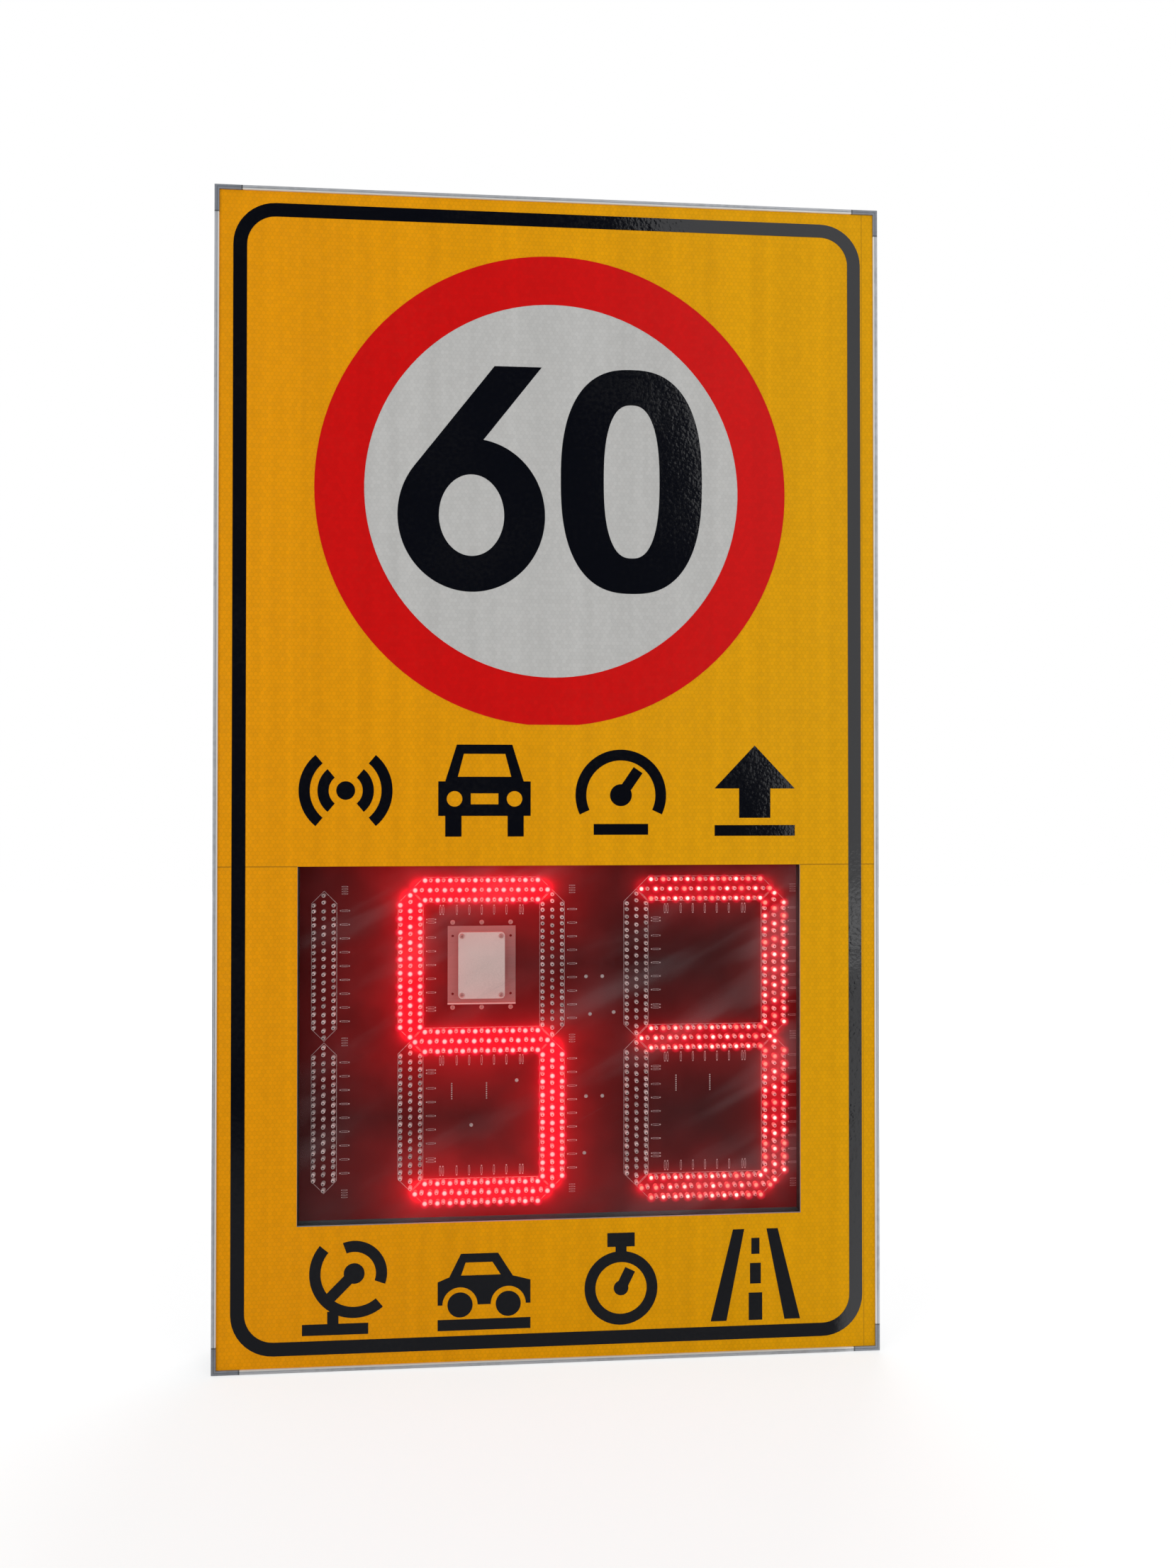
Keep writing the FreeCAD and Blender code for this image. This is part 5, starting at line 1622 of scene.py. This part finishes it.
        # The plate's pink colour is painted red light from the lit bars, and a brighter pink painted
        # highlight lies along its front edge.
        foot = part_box("radar_plate")[0].y + self.lit_edge_reach
        plate = GrainedMetal("radar_aluminium", paint(150, 110, 108), 0.38, 0.2, lit_front_edge=foot,
                             highlight_colour=(0.95, 0.62, 0.60), glow_colour=(0.54, 0.06, 0.055), **lit_red)
        dress(plate, "radar_plate")
        # The screws' pink colour is painted red light from the lit bars.
        red_lit_screw = GrainedMetal("radar_screw_zinc", paint(205, 158, 153), 0.34, 0.35, stain=0.15,
                           glow_colour=(0.22, 0.015, 0.015), **lit_red)
        small = CrossScrew(2.9 * MM, 1.9 * MM, 1.5 * MM, Facing.FRONT)
        FastenerSet("radar_cover_screws", small).build(red_lit_screw)
        FastenerSet("radar_lid_screws", small).build(red_lit_screw)
        dress(GrainedMetal("zinc_steel", paint(205, 198, 194), 0.34, 0.35, stain=0.15),
              "radar_lid", "radar_lid_nuts", "board_spacers", "board_screws", "gear_spacers",
              "gear_screws", "power_supply")

    def build_back(self) -> None:
        """Dresses the panels, gear and rails, and makes the rear screws and the gland's cap."""
        panel = GrainedMetal("panel_aluminium", paint(190, 192, 195), 0.40, 0.65, grain=Axis.UPRIGHT,
                             stain=0.2)
        dress(panel, "rear_panel", "gear_plate")
        dress(GrainedMetal("panel_aluminium_edge", paint(205, 206, 206), 0.40, 0.15), "front_panel")
        dress(GalvanisedSheet("galvanised_steel", paint(178, 182, 186), 0.42, 0.75),
              "mounting_rail_upper", "mounting_rail_lower")
        black = Moulded("black_plastic", paint(42, 42, 43), 0.5)
        dress(black, "gland_body", "gland_nut", "power_supply_terminals", "driver_chips", "display_socket",
              "control_board_parts", "control_board_feet", "mains_terminal_block")
        dress(Laminate("green_laminate", paint(30, 98, 58), 0.35), "control_board", "antenna_board")
        zinc = GrainedMetal("screw_zinc", paint(192, 190, 185), 0.3, 0.8, stain=0.1)
        FastenerSet("rear_panel_screws", CrossScrew(4.0 * MM, 2.6 * MM, 2.0 * MM, Facing.BACK)).build(zinc)
        FastenerSet("mounting_rail_bolts", HexBolt(5.8 * MM, 4.0 * MM, 3.0 * MM, Facing.BACK)).build(zinc)
        CableGland().build(black)

    def build(self) -> None:
        """Builds and dresses the sub-assemblies in order."""
        steps = (self.build_front, self.build_window, self.build_display, self.build_radar,
                 self.build_back)
        for step in steps:
            LOG.info("step %s", step.__name__)
            step()


@dataclass
class Studio:
    """A pale floor, a white surround, soft lamps and the camera."""

    eye: Triple = (-0.0721, -1.5342, -0.0224)
    ahead: Triple = (0.08051, 0.9967, 0.01013)
    lens: float = 27.03
    sensor: float = 36.0
    floor_size: float = 14.0
    floor_drop: float = 1.0 * MM
    floor_colour: Colour = (0.9, 0.9, 0.9)
    floor_white: float = 1.3
    shadow_white: float = 0.55
    shadow_reach: Point = (0.6, 1.6)
    fill: float = 0.46
    facing_dim: float = 0.03
    facing_span: Point = (-0.35, 0.1)
    near_dim: float = 0.24
    side_slope: float = 0.287
    side_edge: Point = (0.30, 0.33)
    side_light: float = 1.3

    def build_floor(self) -> None:
        """Lays the floor: white with a shadow where it is seen, and dim where it is mirrored."""
        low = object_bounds()[0].z - self.floor_drop
        half = self.floor_size / 2
        mesh = bpy.data.meshes.new("floor")
        corners = [(-half, -half, low), (half, -half, low), (half, half, low), (-half, half, low)]
        mesh.from_pydata(corners, [], [(0, 1, 2, 3)])
        material = bpy.data.materials.new("pale_floor")
        material.use_nodes = True
        graph = ShaderGraph(material.node_tree)
        graph.tree.nodes.clear()
        matt = graph.add("ShaderNodeBsdfDiffuse", {"Color": opaque(self.floor_colour)})
        white = graph.add("ShaderNodeEmission", {"Strength": self.floor_white})
        path = graph.add("ShaderNodeLightPath").outputs
        away = graph.measure("LENGTH", graph.vector("MULTIPLY", graph.place, (1.0, 1.0, 0.0)))
        bright = graph.remap(away, *self.shadow_reach, self.shadow_white)
        share = graph.times(path["Is Camera Ray"], bright)
        seen = graph.add("ShaderNodeMixShader", {0: share, 1: matt.outputs[0], 2: white.outputs[0]})
        mirrored = graph.remap(away, *self.shadow_reach, self.near_dim, self.facing_dim)
        aside = graph.measure("DOT_PRODUCT", graph.place, (1.0, self.side_slope, 0.0))
        beside = graph.remap(aside, *self.side_edge, 0.0, self.side_light)
        dim = graph.add("ShaderNodeEmission", {"Strength": graph.math("MAXIMUM", mirrored, beside)})
        shown = graph.add("ShaderNodeMixShader", {
            0: path["Is Glossy Ray"], 1: seen.outputs[0], 2: dim.outputs[0]})
        graph.add("ShaderNodeOutputMaterial", {"Surface": shown.outputs[0]})
        mesh.materials.append(material)
        floor = link("floor", mesh)
        floor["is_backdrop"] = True

    def build_world(self) -> None:
        """Surrounds the sign with white, dimmer where its front and pane would mirror it."""
        world = bpy.data.worlds.new("studio")
        bpy.context.scene.world = world
        world.use_nodes = True
        graph = ShaderGraph(world.node_tree)
        graph.tree.nodes.clear()
        path = graph.add("ShaderNodeLightPath").outputs
        way = graph.split(graph.add("ShaderNodeTexCoord").outputs["Generated"])
        behind = graph.remap(way["Y"], *self.facing_span, self.facing_dim)
        seen = graph.math("MAXIMUM", path["Is Camera Ray"], path["Is Transmission Ray"])
        mirrored = graph.times(path["Is Glossy Ray"], behind)
        plain = graph.math("SUBTRACT", 1.0, graph.math("MAXIMUM", seen, path["Is Glossy Ray"]))
        strength = graph.math("ADD", graph.math("MAXIMUM", seen, mirrored), graph.times(plain, self.fill))
        background = graph.add("ShaderNodeBackground", {"Color": opaque(WHITE), "Strength": strength})
        graph.add("ShaderNodeOutputWorld", {"Surface": background.outputs[0]})

    def lamp(self, name: str, place: Triple, aim: Triple, size: Point, power: float,
             roll: float = 0.0) -> None:
        """Hangs a soft lamp.

        Args:
            name: Its name.
            place: Where it hangs.
            aim: The point that it faces.
            size: Its width and height.
            power: Its power in watts.
            roll: Its turn about the line to its aim.
        """
        data = bpy.data.lights.new(name, "AREA")
        data.shape = "RECTANGLE"
        data.size, data.size_y = size
        data.energy = power
        made = link(name, data)
        made.location = place
        facing = (Vector(aim) - Vector(place)).to_track_quat("-Z", "Y")
        made.rotation_euler = (facing @ Quaternion((0.0, 0.0, 1.0), roll)).to_euler()

    def build_camera(self) -> None:
        """Sets the camera where the sign was looked at from."""
        data = bpy.data.cameras.new("camera")
        data.lens = self.lens
        data.sensor_width = self.sensor
        made = link("camera", data)
        made.location = self.eye
        made.rotation_euler = Vector(self.ahead).to_track_quat("-Z", "Y").to_euler()
        bpy.context.scene.camera = made

    def build(self) -> None:
        """Sets up the floor, surround, lamps and camera."""
        bpy.context.scene.view_settings.view_transform = "Standard"
        self.build_floor()
        self.build_world()
        self.lamp("key_left", (-2.9, -2.8, 0.8), (0.0, 0.0, 0.0), (2.2, 2.2), 38.0)
        self.lamp("fill_right", (1.83, -3.0, 1.32), (1.55, 0.0, 1.32), (2.2, 3.5), 30.0, 0.235)
        self.lamp("back_top", (0.8, 2.6, 2.0), (0.0, 0.0, 0.0), (2.0, 2.0), 40.0)
        self.build_camera()


def main() -> None:
    """Dresses the sign and sets it in the studio."""
    logging.basicConfig(level=logging.INFO, format="%(name)s: %(message)s")
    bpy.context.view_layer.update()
    SpeedSign().build()
    Studio().build()


if __name__ == "__main__":
    main()
